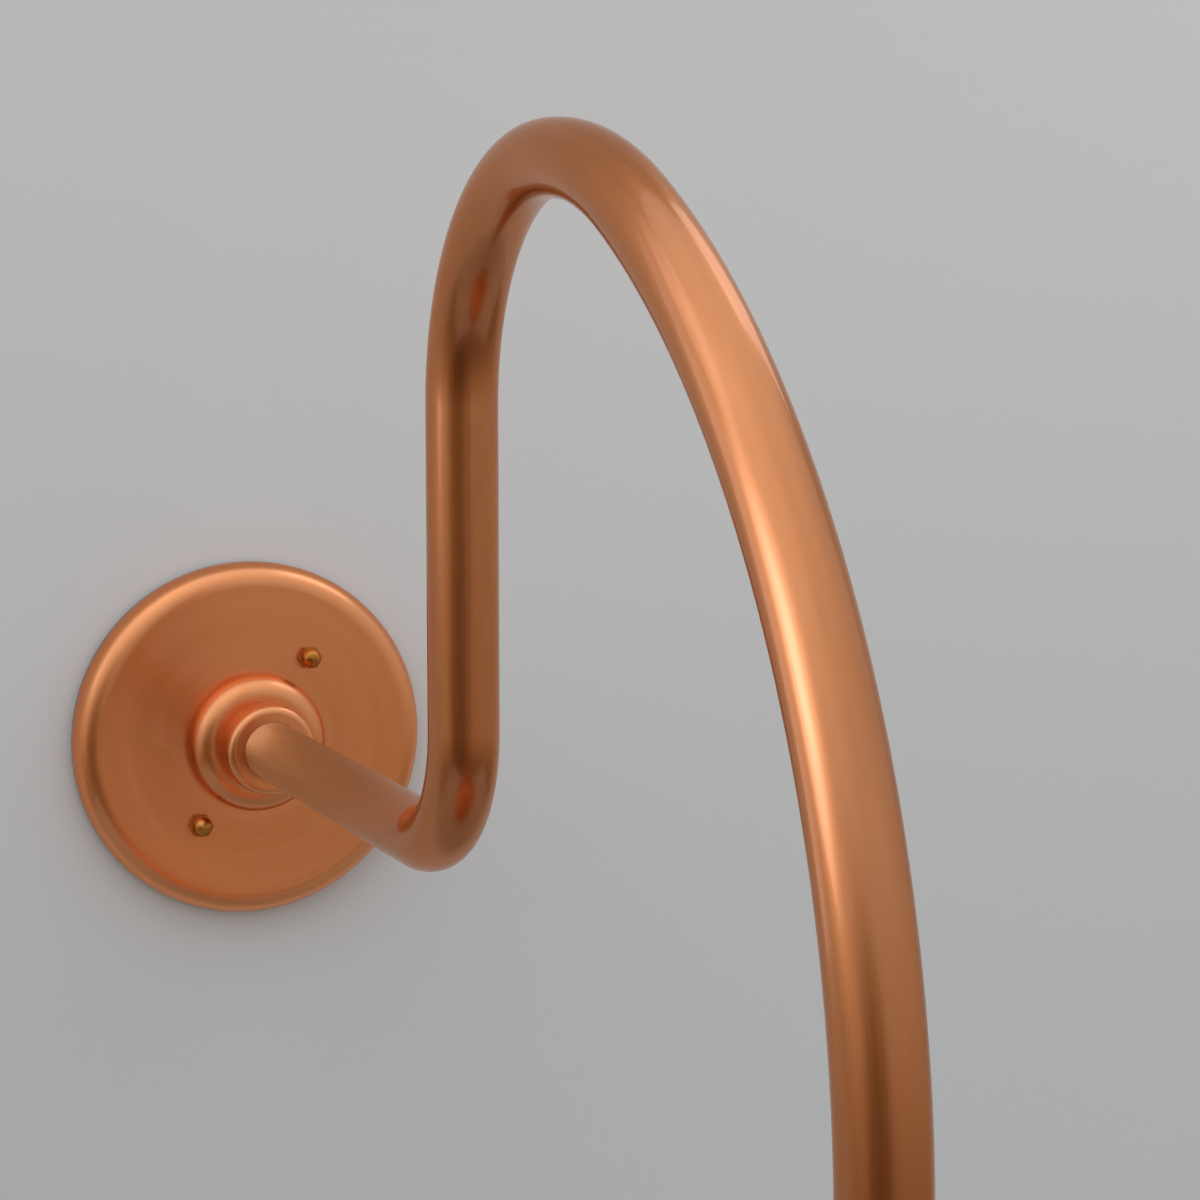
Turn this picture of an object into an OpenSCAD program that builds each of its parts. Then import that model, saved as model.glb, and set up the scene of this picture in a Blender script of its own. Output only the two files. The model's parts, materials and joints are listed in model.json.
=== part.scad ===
/* [Arm] */
// Outside diameter of the arm tube
tube_d = 22.2; // [20:0.1:25]
// Wall of the arm tube
tube_wall = 1.2; // [0.8:0.1:1.6]
// Distance from the wall to the axis of the upright
upright_out = 254; // [200:1:320]
// Bend radius of the elbow under the upright
elbow_r = 40; // [30:1:60]
// Height over the stub at which the crook begins
upright_top = 140; // [90:1:220]
// Bend radius of the crown of the crook
crown_r = 71; // [50:1:100]
// Bend radius of the shoulder after the crown
shoulder_r = 122; // [102:1:160]
// Angle that the shoulder turns through
shoulder_sweep = 28; // [15:1:45]
// Bend radius of the long sweep down to the shade
sweep_r = 262; // [180:1:320]
// Straight tail under the long sweep
tail = 46; // [30:1:90]

/* [Wall plate] */
// Diameter of the wall plate
plate_d = 139.7; // [134:0.1:160]
// Distance from the wall to the face of the plate
plate_depth = 14; // [13:0.5:24]
// Sheet thickness of the plate
plate_wall = 1.2; // [0.8:0.1:1.6]
// Outside radius of the plate's rounded edge
plate_round = 9; // [4:0.5:10]
// Thickness of the foam gasket on the wall
gasket_t = 2; // [1:0.5:3]
// Width of the foam gasket
gasket_w = 7; // [4:0.5:9]
// How far the gasket lies inside the plate's edge
gasket_inset = 0.4; // [0.2:0.1:0.8]

/* [Bracket and studs] */
// Spacing of the wall box screws
box_spacing = 88.9; // [86:0.1:96]
// Diameter of the wall box screw holes
box_hole_d = 4.8; // [4.4:0.1:5.6]
// Sheet thickness of the bracket
bracket_t = 1.6; // [1.2:0.1:1.8]
// Outside diameter of the bracket's ring
ring_d = 60; // [56:1:64]
// Opening in the bracket's ring for the house wires
ring_bore_d = 34; // [30:1:38]
// Width of the bracket's arms
bracket_w = 14; // [11:0.5:18]
// Metal past each hole at the end of a bracket arm
bracket_lip = 7; // [4.5:0.5:8]
// Spacing of the two plate studs
stud_spacing = 78; // [74:0.5:84]
// Angle of the stud line over the horizontal
stud_angle = 55; // [50:1:90]
// Diameter of the studs
stud_d = 4; // [3:0.1:4.4]
// Thread length of a stud past the plate
stud_past = 4.5; // [3:0.1:5]
// Across flats of the stud lock nuts
stud_nut_af = 7; // [6:0.5:8]
// Thickness of the stud lock nuts
stud_nut_t = 2.4; // [1.6:0.1:3.2]
// Across flats of the cap nuts
cap_af = 8; // [7:0.5:9.5]
// Height of the cap nut's hexagon
cap_hex_h = 3; // [2:0.5:4]

/* [Hub] */
// Diameter of the boss on the plate
boss_d = 54; // [48:1:62]
// Height of the boss
boss_h = 12; // [9:0.5:18]
// Radius of the boss's rounded edge
boss_round = 8; // [5:0.5:8.5]
// Sheet thickness of the boss
boss_wall = 1.5; // [1:0.1:2]
// Diameter of the collar on the arm
collar_d = 35; // [32:0.5:38]
// Length of the collar
collar_h = 14; // [11:0.5:20]
// Radius of the collar's rounded edge
collar_round = 3; // [1:0.5:4]
// Diameter of the set screws
set_screw_d = 4; // [3:0.1:5]

/* [Arm plug] */
// Length of the plug brazed into the tube
plug_len = 16; // [10:1:24]
// Thread diameter of the plug
plug_thread_d = 16.5; // [15:0.1:17]
// Wire bore of the plug and of the swivel's upper half
wire_bore_d = 11; // [9:0.5:11.5]
// Across flats of the plug's lock nut
plug_nut_af = 22; // [20:0.5:24]
// Thickness of the plug's lock nut
plug_nut_t = 3.5; // [2.5:0.1:3.6]
// Diameter of the plug's lock washer
plug_washer_d = 26; // [24:0.5:28]
// Thickness of the plug's lock washer
plug_washer_t = 1; // [0.6:0.1:1.2]

/* [Wiring] */
// Outside diameter of the insulated wires
wire_d = 2.2; // [1.8:0.1:2.4]
// Distance of each wire from the arm's centre plane
wire_side = 1.6; // [1.3:0.1:1.8]
// Bend radius of the wires
wire_bend = 3; // [2.5:0.1:3.2]
// Diameter of a closed-end connector
joint_d = 6; // [5:0.5:6.2]
// Length of a closed-end connector
joint_len = 15; // [12:0.5:16]
// Distance of each lamp wire's connector from the hub's axis
joint_out = 22; // [19:0.5:24]
// Depth that a wire goes into its connector
joint_grip = 4; // [3:0.5:6]
// Diameter of the ground screw
ground_screw_d = 3.5; // [3:0.1:4]
// Thickness of the ground lead's ring terminal
terminal_t = 0.8; // [0.5:0.1:1]

/* [Swivel] */
// Outside diameter of the coupling under the arm
coupling_d = 29; // [27:0.5:34]
// Depth of the tube in the coupling
coupling_grip = 20; // [14:1:26]
// Length of the coupling under the tube
coupling_base = 16; // [12:1:24]
// Length of the swivel's upper thread
fork_thread = 14; // [8:1:15]
// Height of the swivel's crown
crown_h = 14; // [10:1:20]
// Diameter of the swivel's crown
crown_d = 32; // [31.5:0.5:36]
// Thickness of each cheek of the fork
cheek_t = 5; // [3.5:0.1:5.2]
// Width of the drum between the cheeks
drum_w = 18; // [16:0.5:18.4]
// Diameter of the drum
drum_d = 23; // [21:0.5:25]
// Diameter of the pivot screws' shoulders
pivot_d = 5.2; // [4.4:0.1:6]
// Diameter of the pivot screws' threads
pivot_thread_d = 4.8; // [4:0.1:5]
// Thread length of the pivot screws
pivot_thread = 5; // [3.5:0.5:5.4]
// Diameter of the pivot screws' heads
pivot_head_d = 10; // [8.5:0.5:11]
// Height of the pivot screws' heads
pivot_head_h = 3; // [2.4:0.1:4]
// Thickness of the friction washers
friction_t = 0.7; // [0.4:0.1:1]
// Diameter of the friction washers
friction_d = 11; // [9.5:0.5:12]
// Distance from the pivot to the underside of the flange
flange_drop = 24; // [22:0.5:30]
// Thickness of the flange on the shade holder
flange_t = 4; // [2.5:0.5:5]
// Diameter of the flange
flange_d = 26; // [22:1:32]
// Diameter of the swivel's neck
stem_d = 16; // [14:0.5:18]
// Thread diameter under the flange
stem_thread_d = 12.8; // [12:0.1:14]
// Wire bore of the swivel's lower half
stem_bore_d = 9.2; // [8:0.1:10]

/* [Shade holder] */
// Diameter of the shade holder
holder_d = 70; // [64:1:84]
// Depth of the shade holder
holder_h = 30; // [27:1:40]
// Sheet thickness of the shade holder
holder_wall = 1.5; // [1:0.1:2]
// Outside radius of the holder's shoulder
holder_round = 10; // [5:0.5:12]
// Thickness of the rubber washer in the holder
seal_t = 1.2; // [0.8:0.1:2]
// Diameter of the rubber washer in the holder
seal_d = 36; // [30:1:40]
// Sheet thickness of the socket bracket
strap_t = 1.5; // [1:0.1:2]
// Width of the socket bracket
strap_w = 16; // [14:0.5:18]
// Distance between the outer faces of the bracket's legs
strap_span = 33; // [30:0.5:35]
// Height of the socket bracket
strap_h = 15; // [13.5:0.5:18]
// Thickness of the lock washer under the socket bracket
stem_washer_t = 1; // [0.6:0.1:1.2]
// Thickness of the lock nut under the socket bracket
stem_nut_t = 4.5; // [3:0.1:5]
// Across flats of the lock nut under the socket bracket
stem_nut_af = 18; // [17:0.5:19]
// Diameter of the shade screws
shade_screw_d = 3.5; // [3:0.1:4]
// Diameter of the shade screws' knurled heads
shade_screw_head_d = 8; // [6:0.5:10]

/* [Shade] */
// Diameter of the shade over its rolled rim
shade_d = 355.6; // [300:0.1:400]
// Sheet thickness of the shade
shade_wall = 1; // [0.8:0.1:1.4]
// Length of the shade's neck inside the holder
neck_grip = 18; // [14:1:19]
// Length of the shade's neck under the holder
neck_show = 16; // [10:1:40]
// Radius between the neck and the dome
neck_round = 8; // [5:0.5:12]
// Outside radius of the dome
dome_r = 110; // [80:1:130]
// Slope of the dome where it leaves the neck
dome_slope = 20; // [10:1:25]
// Slope of the skirt
skirt_slope = 38; // [32:1:46]
// Radius between the skirt and the upright lip
lip_round = 6; // [4:0.5:12]
// Height of the upright lip
lip_h = 6; // [3:0.5:14]
// Diameter of the rolled rim
rim_d = 5; // [3.5:0.5:7]

/* [Socket and bulb] */
// Diameter of the porcelain socket
socket_d = 40; // [37:0.5:42]
// Length of the porcelain socket
socket_h = 44; // [42:1:50]
// Depth of solid porcelain over the screw shell
socket_top = 11; // [9:0.5:14]
// Major diameter of the bulb's screw cap
cap_d = 26.3; // [26:0.1:26.5]
// Thread pitch of the bulb's screw cap
cap_pitch = 3.63; // [3.4:0.01:3.8]
// Thread depth of the bulb's screw cap
cap_thread = 0.5; // [0.3:0.05:0.6]
// Sheet thickness of the screw shell
shell_t = 0.5; // [0.3:0.1:0.6]
// Length of the screw shell
shell_h = 27; // [25:0.5:29]
// Sheet thickness of the contact strips
strip_t = 0.8; // [0.5:0.1:1]
// Distance of each terminal screw from the socket's axis
terminal_x = 10.5; // [10:0.1:10.8]
// Diameter of the terminal and bracket screws
small_screw_d = 3.2; // [2.6:0.1:3.4]
// Height of the spring contact
contact_h = 3; // [2:0.1:4]
// Diameter of the bulb
bulb_d = 60; // [50:1:62]
// Length of the bulb with its cap
bulb_len = 105; // [98:1:108]
// Thickness of the bulb's glass
glass_t = 0.8; // [0.6:0.1:1]
// Diameter of the bulb's glass neck
glass_neck_d = 24.4; // [24:0.1:24.6]
// Length of a light filament
filament_len = 38; // [30:1:40]
// Diameter of a light filament
filament_d = 2; // [1.6:0.1:2.4]

/* [Clearances] */
// Radial clearance of the tube in the boss, collar and coupling
tube_gap = 0.15; // [0.1:0.05:0.3]
// Radial clearance of threads in their holes
thread_gap = 0.05; // [0.03:0.01:0.1]
// Radial clearance of bolts in plain holes
hole_gap = 0.3; // [0.2:0.05:0.5]
// Radial clearance of the pivot screws in the cheeks
pivot_gap = 0.05; // [0.02:0.01:0.09]
// Side clearance between turning faces
face_gap = 0.1; // [0.05:0.05:0.2]
// Clearance of the shade's neck in its holder
neck_gap = 0.3; // [0.2:0.05:0.5]
// Clearance between the drum and the crown over it
crown_gap = 1; // [0.5:0.1:2]
// Distance of each wire's end from the pivot's axis
wire_end_gap = 0.8; // [0.7:0.1:1.2]

/* [Hidden] */
$fn = 72;

copper = "#c07a4e";
dark_copper = "#9c5a38";
brass_tone = "#c89a4a";
steel_tone = "#a9abab";
porcelain_tone = "#ece8de";
rubber_tone = "#2b2b2b";

// The arm's centre line, as [distance out from the wall, height over the stub]
long_sweep = 90 - shoulder_sweep;
crown_c = [upright_out + crown_r, upright_top];
shoulder_c = crown_c + [0, crown_r - shoulder_r];
sweep_c = shoulder_c + (shoulder_r - sweep_r) * [cos(long_sweep), sin(long_sweep)];
limb_out = sweep_c[0] + sweep_r;
arm_end = sweep_c[1] - tail;

// Small details of the pieces
slot_w = 0.8;
stud_end_gap = 0.3;
ground_head_h = 2.2;
joint_nose = 1.6;
joint_taper = 0.4;
coupling_round = 1.5;
groove = 0.8;
groove_w = 2;
groove_down = 4;
crown_edge = 2;
pivot_hex_h = 1.6;
shade_screw_stand = 0.5;
shade_screw_head_h = 4.5;
shade_screw_slot = 1.2;
glaze_r = 2;
waist_in = 2.5;
bracket_screw_len = 6;
small_head_h = 1.8;
strip_back = 4;

tube_r = tube_d / 2;
tube_ir = tube_r - tube_wall;
plate_r = plate_d / 2;
stud_r = stud_d / 2;
wire_r = wire_d / 2;
thread_r = plug_thread_d / 2;

// Levels outward from the wall
stud_rear = bracket_t / 5;
washer_rear = plate_depth - plate_wall - plug_washer_t;
nut_rear = washer_rear - plug_nut_t;
plug_rear = nut_rear - 0.5;
joint_level = plug_rear - wire_bend;
boss_front = plate_depth + boss_h;
collar_front = boss_front + collar_h;
collar_mid = boss_front + collar_h / 2;
ground_down = (ring_d + ring_bore_d) / 4;
ground_head = bracket_t + terminal_t;
ground_level = bracket_t + wire_r + 0.5;
barrel_r = wire_r + 0.4;
barrel_top = ground_down + ground_screw_d + 0.7;
barrel_len = 5.3;
ground_joint = ring_d / 2 + 6;

// Heights down the arm's end
coupling_bottom = arm_end - coupling_base;
crown_bottom = coupling_bottom - crown_h;
pivot_z = crown_bottom - drum_d / 2 - crown_gap;
drum_r = drum_d / 2;
cheek_in = drum_w / 2 + face_gap;
cheek_out = cheek_in + cheek_t;
head_in = cheek_out + friction_t + face_gap;
wire_slot = wire_side + wire_r + 0.5;

// Heights under the pivot
holder_top = -flange_drop;
seal_top = holder_top - holder_wall;
strap_top = seal_top - seal_t;
stem_washer_top = strap_top - strap_t;
stem_nut_top = stem_washer_top - stem_washer_t;
stem_end = stem_nut_top - stem_nut_t - 0.5;
holder_bottom = holder_top - holder_h;
socket_z = strap_top - strap_h;
shell_top = socket_z - socket_top;
contact_end = shell_top - strip_t - contact_h;
tip_h = 1.2;
insulator_h = 3;
cap_top = contact_end - 0.05 - tip_h - insulator_h;
cap_h = 22;
cap_r = cap_d / 2;
insulator_r = cap_r - 3;
tip_r = 4.6;
cap_t = 0.4;
cap_gap = 0.15;
cap_skirt = 3;
bulb_bottom = contact_end - bulb_len;
terminal_head = socket_z + wire_d + 0.2;
screw_bore = small_screw_d / 2 + thread_gap;
shade_screw_z = holder_bottom + 7;
strip_w = 7;
bracket_foot = 8;

// The bulb's glass, its inner stem and the ring of filaments
glass_c = [0, bulb_bottom + bulb_d / 2];
glass_top = cap_top - cap_h + 4;
flare = [glass_neck_d / 2, cap_top - cap_h - 4];
glass_in_r = glass_neck_d / 2 - glass_t;
stem_r = glass_in_r - 0.05;
pinch_r = 2.6;
filament_mid = glass_c[1];
filament_low = filament_mid - filament_len / 2;
filament_high = filament_mid + filament_len / 2;
stem_tip = filament_high + 4;
filament_ring = 8;
support_r = 0.4;

// Outline of the shade, as [radius, height under the pivot] of its outer face
neck_r = holder_d / 2 - holder_wall - neck_gap;
neck_bottom = holder_bottom - neck_show;
rim_r = rim_d / 2;
lip_r = shade_d / 2 - rim_r + shade_wall / 2;
neck_c = [neck_r + neck_round, neck_bottom];
dome_start = neck_c + neck_round * [-sin(dome_slope), -cos(dome_slope)];
dome_c = dome_start - dome_r * [sin(dome_slope), cos(dome_slope)];
dome_end = dome_c + dome_r * [sin(skirt_slope), cos(skirt_slope)];
skirt_len = (lip_r - lip_round * (1 - sin(skirt_slope)) - dome_end[0]) / cos(skirt_slope);
lip_start = dome_end + skirt_len * [cos(skirt_slope), -sin(skirt_slope)];
lip_c = lip_start - lip_round * [sin(skirt_slope), cos(skirt_slope)];
rim_z = lip_c[1] - lip_h;

// Points of an arc about c, from angle a0 to angle a1
function arc(c, r, a0, a1, n) = [for (i = [0:n]) c + r * [cos(a0 + (a1 - a0) * i / n), sin(a0 + (a1 - a0) * i / n)]];

// Radius of a hexagon's corners from its width across flats
function hex_r(af) = af / 2 / cos(30);

// Places a child so that its z axis runs straight out from the wall
module outward(d) rotate([90, 0, 0]) translate([0, 0, d]) children();

// Places a child in the arm's plane, with x out from the wall and y up
module arm_plane() rotate([90, 0, -90]) children();

// Places a child on the arm's vertical end, at a height over the stub
module at_limb(z) translate([0, -limb_out, z]) children();

// Places a child on the shade's axis, at a height over the pivot
module at_pivot(z) at_limb(pivot_z + z) children();

module ring(r_out, r_in, h) {
    difference() {
        cylinder(r = r_out, h = h);
        translate([0, 0, -1]) cylinder(r = r_in, h = h + 2);
    }
}

module turned(points) rotate_extrude() polygon(points);

module hex_nut(af, bore_r, h) {
    difference() {
        cylinder(r = hex_r(af), h = h, $fn = 6);
        translate([0, 0, -1]) cylinder(r = bore_r, h = h + 2);
    }
}

// Screw with a slotted pan head, the head's underside at z = 0 and the shank below it
module slotted_screw(d, shank, head_d, head_h) {
    translate([0, 0, -shank]) cylinder(d = d, h = shank);
    difference() {
        turned([[0, 0], [head_d / 2, 0], [head_d / 2, head_h / 2], [head_d / 2 - head_h * 0.4, head_h], [0, head_h]]);
        translate([0, 0, head_h]) cube([head_d * 1.2, slot_w, head_h], center = true);
    }
}

// Headless screw with a hexagon socket, its tip at z = 0
module grub_screw(d, h) {
    difference() {
        cylinder(d = d, h = h);
        translate([0, 0, h - d / 2]) cylinder(r = hex_r(d / 2), h = d, $fn = 6);
    }
}

// One straight or bent stretch of the arm's route; the child is its section
module straight(from, heading, len) {
    exactly([from[0], from[1], 0]) rotate([0, 0, heading]) rotate([90, 0, 90]) linear_extrude(len) children();
}

// Moves a child by whole millimetres, then thousandths, then the rest, so that two bends meet to the last digit
module exactly(v) {
    whole = [for (x = v) round(x)];
    fine = [for (x = v - whole) round(x * 1000) / 1000];
    translate(whole) translate(fine) translate(v - whole - fine) children();
}

module bend(c, r, from, sweep) {
    exactly([c[0], c[1], 0]) rotate_extrude(start = from, angle = sweep) translate([r, 0]) children();
}

// The arm's route from a distance out from the wall to a height on the far limb
module arm_route(from_out, to_z) {
    arm_plane() {
        straight([from_out, 0], 0, upright_out - elbow_r - from_out) children();
        bend([upright_out - elbow_r, elbow_r], elbow_r, -90, 90) children();
        straight([upright_out, elbow_r], 90, upright_top - elbow_r) children();
        bend(crown_c, crown_r, 90, 90) children();
        bend(shoulder_c, shoulder_r, long_sweep, shoulder_sweep) children();
        bend(sweep_c, sweep_r, 0, long_sweep) children();
        straight([limb_out, to_z], 90, sweep_c[1] - to_z) children();
    }
}

module at_studs() {
    for (a = [stud_angle, stud_angle + 180])
        translate([cos(a), sin(a), 0] * stud_spacing / 2) children();
}

// Wall side

module wall_gasket() {
    color(rubber_tone) outward(0) ring(plate_r - gasket_inset, plate_r - gasket_inset - gasket_w, gasket_t);
}

module mounting_bracket() {
    color(steel_tone) outward(0) linear_extrude(bracket_t) difference() {
        union() {
            circle(d = ring_d);
            square([box_spacing + 2 * bracket_lip, bracket_w], center = true);
            rotate(stud_angle) square([stud_spacing + 2 * bracket_lip, bracket_w], center = true);
        }
        circle(d = ring_bore_d);
        for (side = [-1, 1]) translate([side * box_spacing / 2, 0]) circle(d = box_hole_d);
        at_studs() circle(r = stud_r + thread_gap);
        translate([0, -ground_down]) circle(r = ground_screw_d / 2 + thread_gap);
    }
}

module plate_studs() {
    color(brass_tone) outward(stud_rear) at_studs() cylinder(r = stud_r, h = plate_depth + stud_past - stud_rear);
}

module stud_locknuts() {
    color(steel_tone) outward(bracket_t) at_studs() hex_nut(stud_nut_af, stud_r + thread_gap, stud_nut_t);
}

module cap_nuts() {
    dome_r = cap_af / 2 - 0.1;
    color(brass_tone) outward(plate_depth) at_studs() difference() {
        union() {
            cylinder(r = hex_r(cap_af), h = cap_hex_h, $fn = 6);
            translate([0, 0, cap_hex_h]) turned(concat([[0, 0]], arc([0, 0], dome_r, 0, 90, 12)));
        }
        translate([0, 0, -1]) cylinder(r = stud_r + thread_gap, h = stud_past + 1 + stud_end_gap);
    }
}

module ground_screw() {
    color("#3d7a46") outward(ground_head) translate([0, -ground_down, 0])
        slotted_screw(ground_screw_d, ground_head - 0.1, ground_screw_d * 1.9, ground_head_h);
}

module ground_lead() {
    neck_len = barrel_top - ground_down;
    color("#3d7a46") outward(0) {
        difference() {
            union() {
                translate([0, -ground_down, bracket_t]) cylinder(r = ground_screw_d, h = terminal_t);
                translate([-barrel_r * 0.8, -barrel_top - 0.5, bracket_t]) cube([barrel_r * 1.6, neck_len + 0.5, terminal_t]);
                translate([0, -barrel_top, ground_level]) rotate([90, 0, 0]) cylinder(r = barrel_r, h = barrel_len);
                translate([0, -barrel_top, ground_level]) rotate([90, 0, 0])
                    cylinder(r = wire_r, h = ground_joint + joint_grip - barrel_top);
            }
            translate([0, -ground_down, 0]) cylinder(r = ground_screw_d / 2 + thread_gap, h = 5);
            translate([0, -ground_down - 5, bracket_t - 5]) cube([10, 20, 10], center = true);
        }
    }
}

// Closed-end connector with its mouth at z = 0
module connector() {
    r = joint_d / 2;
    difference() {
        turned(concat([[0, 0], [r, 0], [r, joint_len * 0.4]],
            arc([r - joint_taper - joint_nose, joint_len - joint_nose], joint_nose, 0, 90, 6), [[0, joint_len]]));
        translate([0, 0, -1]) cylinder(r = wire_r + thread_gap, h = joint_grip + 1);
    }
}

module wire_connectors() {
    color("#e8e4d8") outward(0) {
        for (side = [-1, 1]) translate([side * joint_out, 0, joint_level]) rotate([0, side * 90, 0]) connector();
        translate([0, -ground_joint, ground_level]) rotate([90, 0, 0]) connector();
    }
}

module wall_plate() {
    round_c = [plate_r - plate_round, plate_depth - plate_round];
    bore_r = thread_r + hole_gap;
    color(copper) outward(0) difference() {
        turned(concat(
            [[plate_r, gasket_t]], arc(round_c, plate_round, 0, 90, 18), [[bore_r, plate_depth]],
            [[bore_r, plate_depth - plate_wall]], arc(round_c, plate_round - plate_wall, 90, 0, 18),
            [[plate_r - plate_wall, gasket_t]]));
        at_studs() cylinder(r = stud_r + hole_gap, h = plate_depth + 1);
    }
}

module arm_plug() {
    color(brass_tone) outward(0) difference() {
        union() {
            translate([0, 0, plug_rear]) cylinder(r = thread_r, h = plate_depth + 1 - plug_rear);
            translate([0, 0, plate_depth]) cylinder(r = tube_ir - 0.1, h = plug_len);
        }
        cylinder(d = wire_bore_d, h = plate_depth + plug_len + 1);
    }
}

module plug_lock_washer() {
    color(steel_tone) outward(washer_rear) ring(plug_washer_d / 2, thread_r + thread_gap * 2, plug_washer_t);
}

module plug_locknut() {
    color(brass_tone) outward(nut_rear) hex_nut(plug_nut_af, thread_r + thread_gap, plug_nut_t);
}

module hub_boss() {
    boss_r = boss_d / 2;
    bore_r = tube_r + tube_gap;
    round_c = [boss_r - boss_round, boss_front - boss_round];
    color(copper) outward(0) turned(concat(
        [[boss_r, plate_depth]], arc(round_c, boss_round, 0, 90, 18), [[bore_r, boss_front]],
        [[bore_r, boss_front - boss_wall]], arc(round_c, boss_round - boss_wall, 90, 0, 18),
        [[boss_r - boss_wall, plate_depth]]));
}

module hub_collar() {
    r = collar_d / 2;
    bore_r = tube_r + tube_gap;
    color(copper) outward(0) difference() {
        turned(concat([[bore_r, boss_front], [r - 1, boss_front], [r, boss_front + 1]],
            arc([r - collar_round, collar_front - collar_round], collar_round, 0, 90, 12), [[bore_r, collar_front]]));
        translate([0, 0, collar_mid]) rotate([90, 0, 0]) cylinder(r = set_screw_d / 2 + thread_gap, h = r + 1);
    }
}

module collar_set_screw() {
    color(steel_tone) outward(collar_mid) rotate([90, 0, 0]) translate([0, 0, tube_r])
        grub_screw(set_screw_d, collar_d / 2 - tube_r - 0.6);
}

module arm_tube() {
    color(copper) arm_route(plate_depth, arm_end) difference() {
        circle(r = tube_r);
        circle(r = tube_ir);
    }
}

// A lamp wire through the arm; side is 1 or -1 and names the side of the arm's plane
module lamp_wire(side) {
    arm_route(plug_rear, pivot_z + wire_end_gap) translate([0, -side * wire_side]) circle(r = wire_r, $fn = 24);
    outward(0) mirror([side < 0 ? 1 : 0, 0, 0]) {
        translate([wire_side + wire_bend, 0, plug_rear]) rotate([90, 0, 0]) rotate([0, 0, 180])
            rotate_extrude(angle = 90) translate([wire_bend, 0]) circle(r = wire_r, $fn = 24);
        translate([wire_side + wire_bend, 0, joint_level]) rotate([0, 90, 0])
            cylinder(r = wire_r, h = joint_out + joint_grip - wire_side - wire_bend, $fn = 24);
    }
}

module live_wire() color("#1f1f1f") lamp_wire(1);

module neutral_wire() color("#e6e6e0") lamp_wire(-1);

// Swivel

module arm_coupling() {
    r = coupling_d / 2;
    bore_r = tube_r + tube_gap;
    stub_r = thread_r + thread_gap;
    top = arm_end + coupling_grip;
    bead = top - groove_down;
    color(copper) at_limb(0) difference() {
        turned(concat([[stub_r, coupling_bottom]],
            arc([r - coupling_round, coupling_bottom + coupling_round], coupling_round, -90, 0, 6),
            [[r, bead - groove_w / 2], [r - groove, bead - groove_w / 2 + groove],
                [r - groove, bead + groove_w / 2 - groove], [r, bead + groove_w / 2]],
            arc([r - coupling_round, top - coupling_round], coupling_round, 0, 90, 6),
            [[bore_r, top], [bore_r, arm_end], [stub_r, arm_end]]));
        translate([0, 0, arm_end + coupling_grip / 2]) rotate([-90, 0, 0])
            cylinder(r = set_screw_d / 2 + thread_gap, h = r + 1);
    }
}

module coupling_set_screw() {
    color(steel_tone) at_limb(arm_end + coupling_grip / 2) rotate([-90, 0, 0]) translate([0, 0, tube_r])
        grub_screw(set_screw_d, coupling_d / 2 - tube_r - 0.4);
}

module swivel_fork() {
    crown_z = crown_bottom - pivot_z;
    color(copper) at_pivot(0) difference() {
        union() {
            translate([0, 0, crown_z]) turned([[0, 0], [crown_d / 2, 0], [crown_d / 2, crown_h - crown_edge],
                [crown_d / 2 - crown_edge, crown_h], [0, crown_h]]);
            translate([0, 0, crown_z + crown_h]) cylinder(r = thread_r, h = fork_thread);
            for (side = [-1, 1]) intersection() {
                translate([side > 0 ? cheek_in : -cheek_out, 0, 0]) union() {
                    translate([0, -drum_r, 0]) cube([cheek_t, drum_d, crown_z + 1]);
                    rotate([0, 90, 0]) cylinder(r = drum_r, h = cheek_t);
                }
                translate([0, 0, -drum_d]) cylinder(r = crown_d / 2, h = drum_d * 2 + crown_h);
            }
        }
        cylinder(d = wire_bore_d, h = crown_z + crown_h + fork_thread + 1);
        rotate([0, 90, 0]) translate([0, 0, -crown_d]) cylinder(r = pivot_d / 2 + pivot_gap, h = crown_d * 2);
    }
}

module friction_washers() {
    color(steel_tone) at_pivot(0) for (side = [0, 1]) mirror([side, 0, 0])
        translate([cheek_out, 0, 0]) rotate([0, 90, 0]) ring(friction_d / 2, pivot_d / 2 + pivot_gap * 2, friction_t);
}

module swivel_tongue() {
    color(dark_copper) at_pivot(0) difference() {
        union() {
            translate([-drum_w / 2, 0, 0]) rotate([0, 90, 0]) cylinder(r = drum_r, h = drum_w);
            translate([0, 0, holder_top + flange_t]) cylinder(d = stem_d, h = flange_drop - flange_t - drum_r / 2);
            translate([0, 0, holder_top]) turned([[0, 0], [flange_d / 2, 0], [flange_d / 2, flange_t - 1],
                [flange_d / 2 - 1, flange_t], [0, flange_t]]);
            translate([0, 0, stem_end]) cylinder(d = stem_thread_d, h = holder_top - stem_end + 1);
        }
        translate([0, 0, stem_end - 1]) cylinder(d = stem_bore_d, h = -stem_end);
        translate([-wire_slot, -drum_d, -wire_end_gap * 2]) cube([wire_slot * 2, drum_d * 2, drum_d]);
        rotate([0, 90, 0]) translate([0, 0, -drum_w]) cylinder(r = pivot_thread_d / 2 + thread_gap, h = drum_w * 2);
    }
}

module pivot_screws() {
    color(brass_tone) at_pivot(0) for (side = [0, 1]) mirror([side, 0, 0]) rotate([0, 90, 0]) difference() {
        union() {
            translate([0, 0, drum_w / 2 - pivot_thread]) cylinder(d = pivot_thread_d, h = pivot_thread + 0.5);
            translate([0, 0, drum_w / 2]) cylinder(d = pivot_d, h = head_in - drum_w / 2 + 0.5);
            translate([0, 0, head_in]) turned([[0, 0], [pivot_head_d / 2, 0], [pivot_head_d / 2, pivot_head_h * 0.6],
                [pivot_head_d / 2 - 1, pivot_head_h], [0, pivot_head_h]]);
        }
        translate([0, 0, head_in + pivot_head_h - pivot_hex_h])
            cylinder(r = hex_r(pivot_head_d * 0.4), h = pivot_head_h, $fn = 6);
    }
}

// Shade holder

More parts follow.
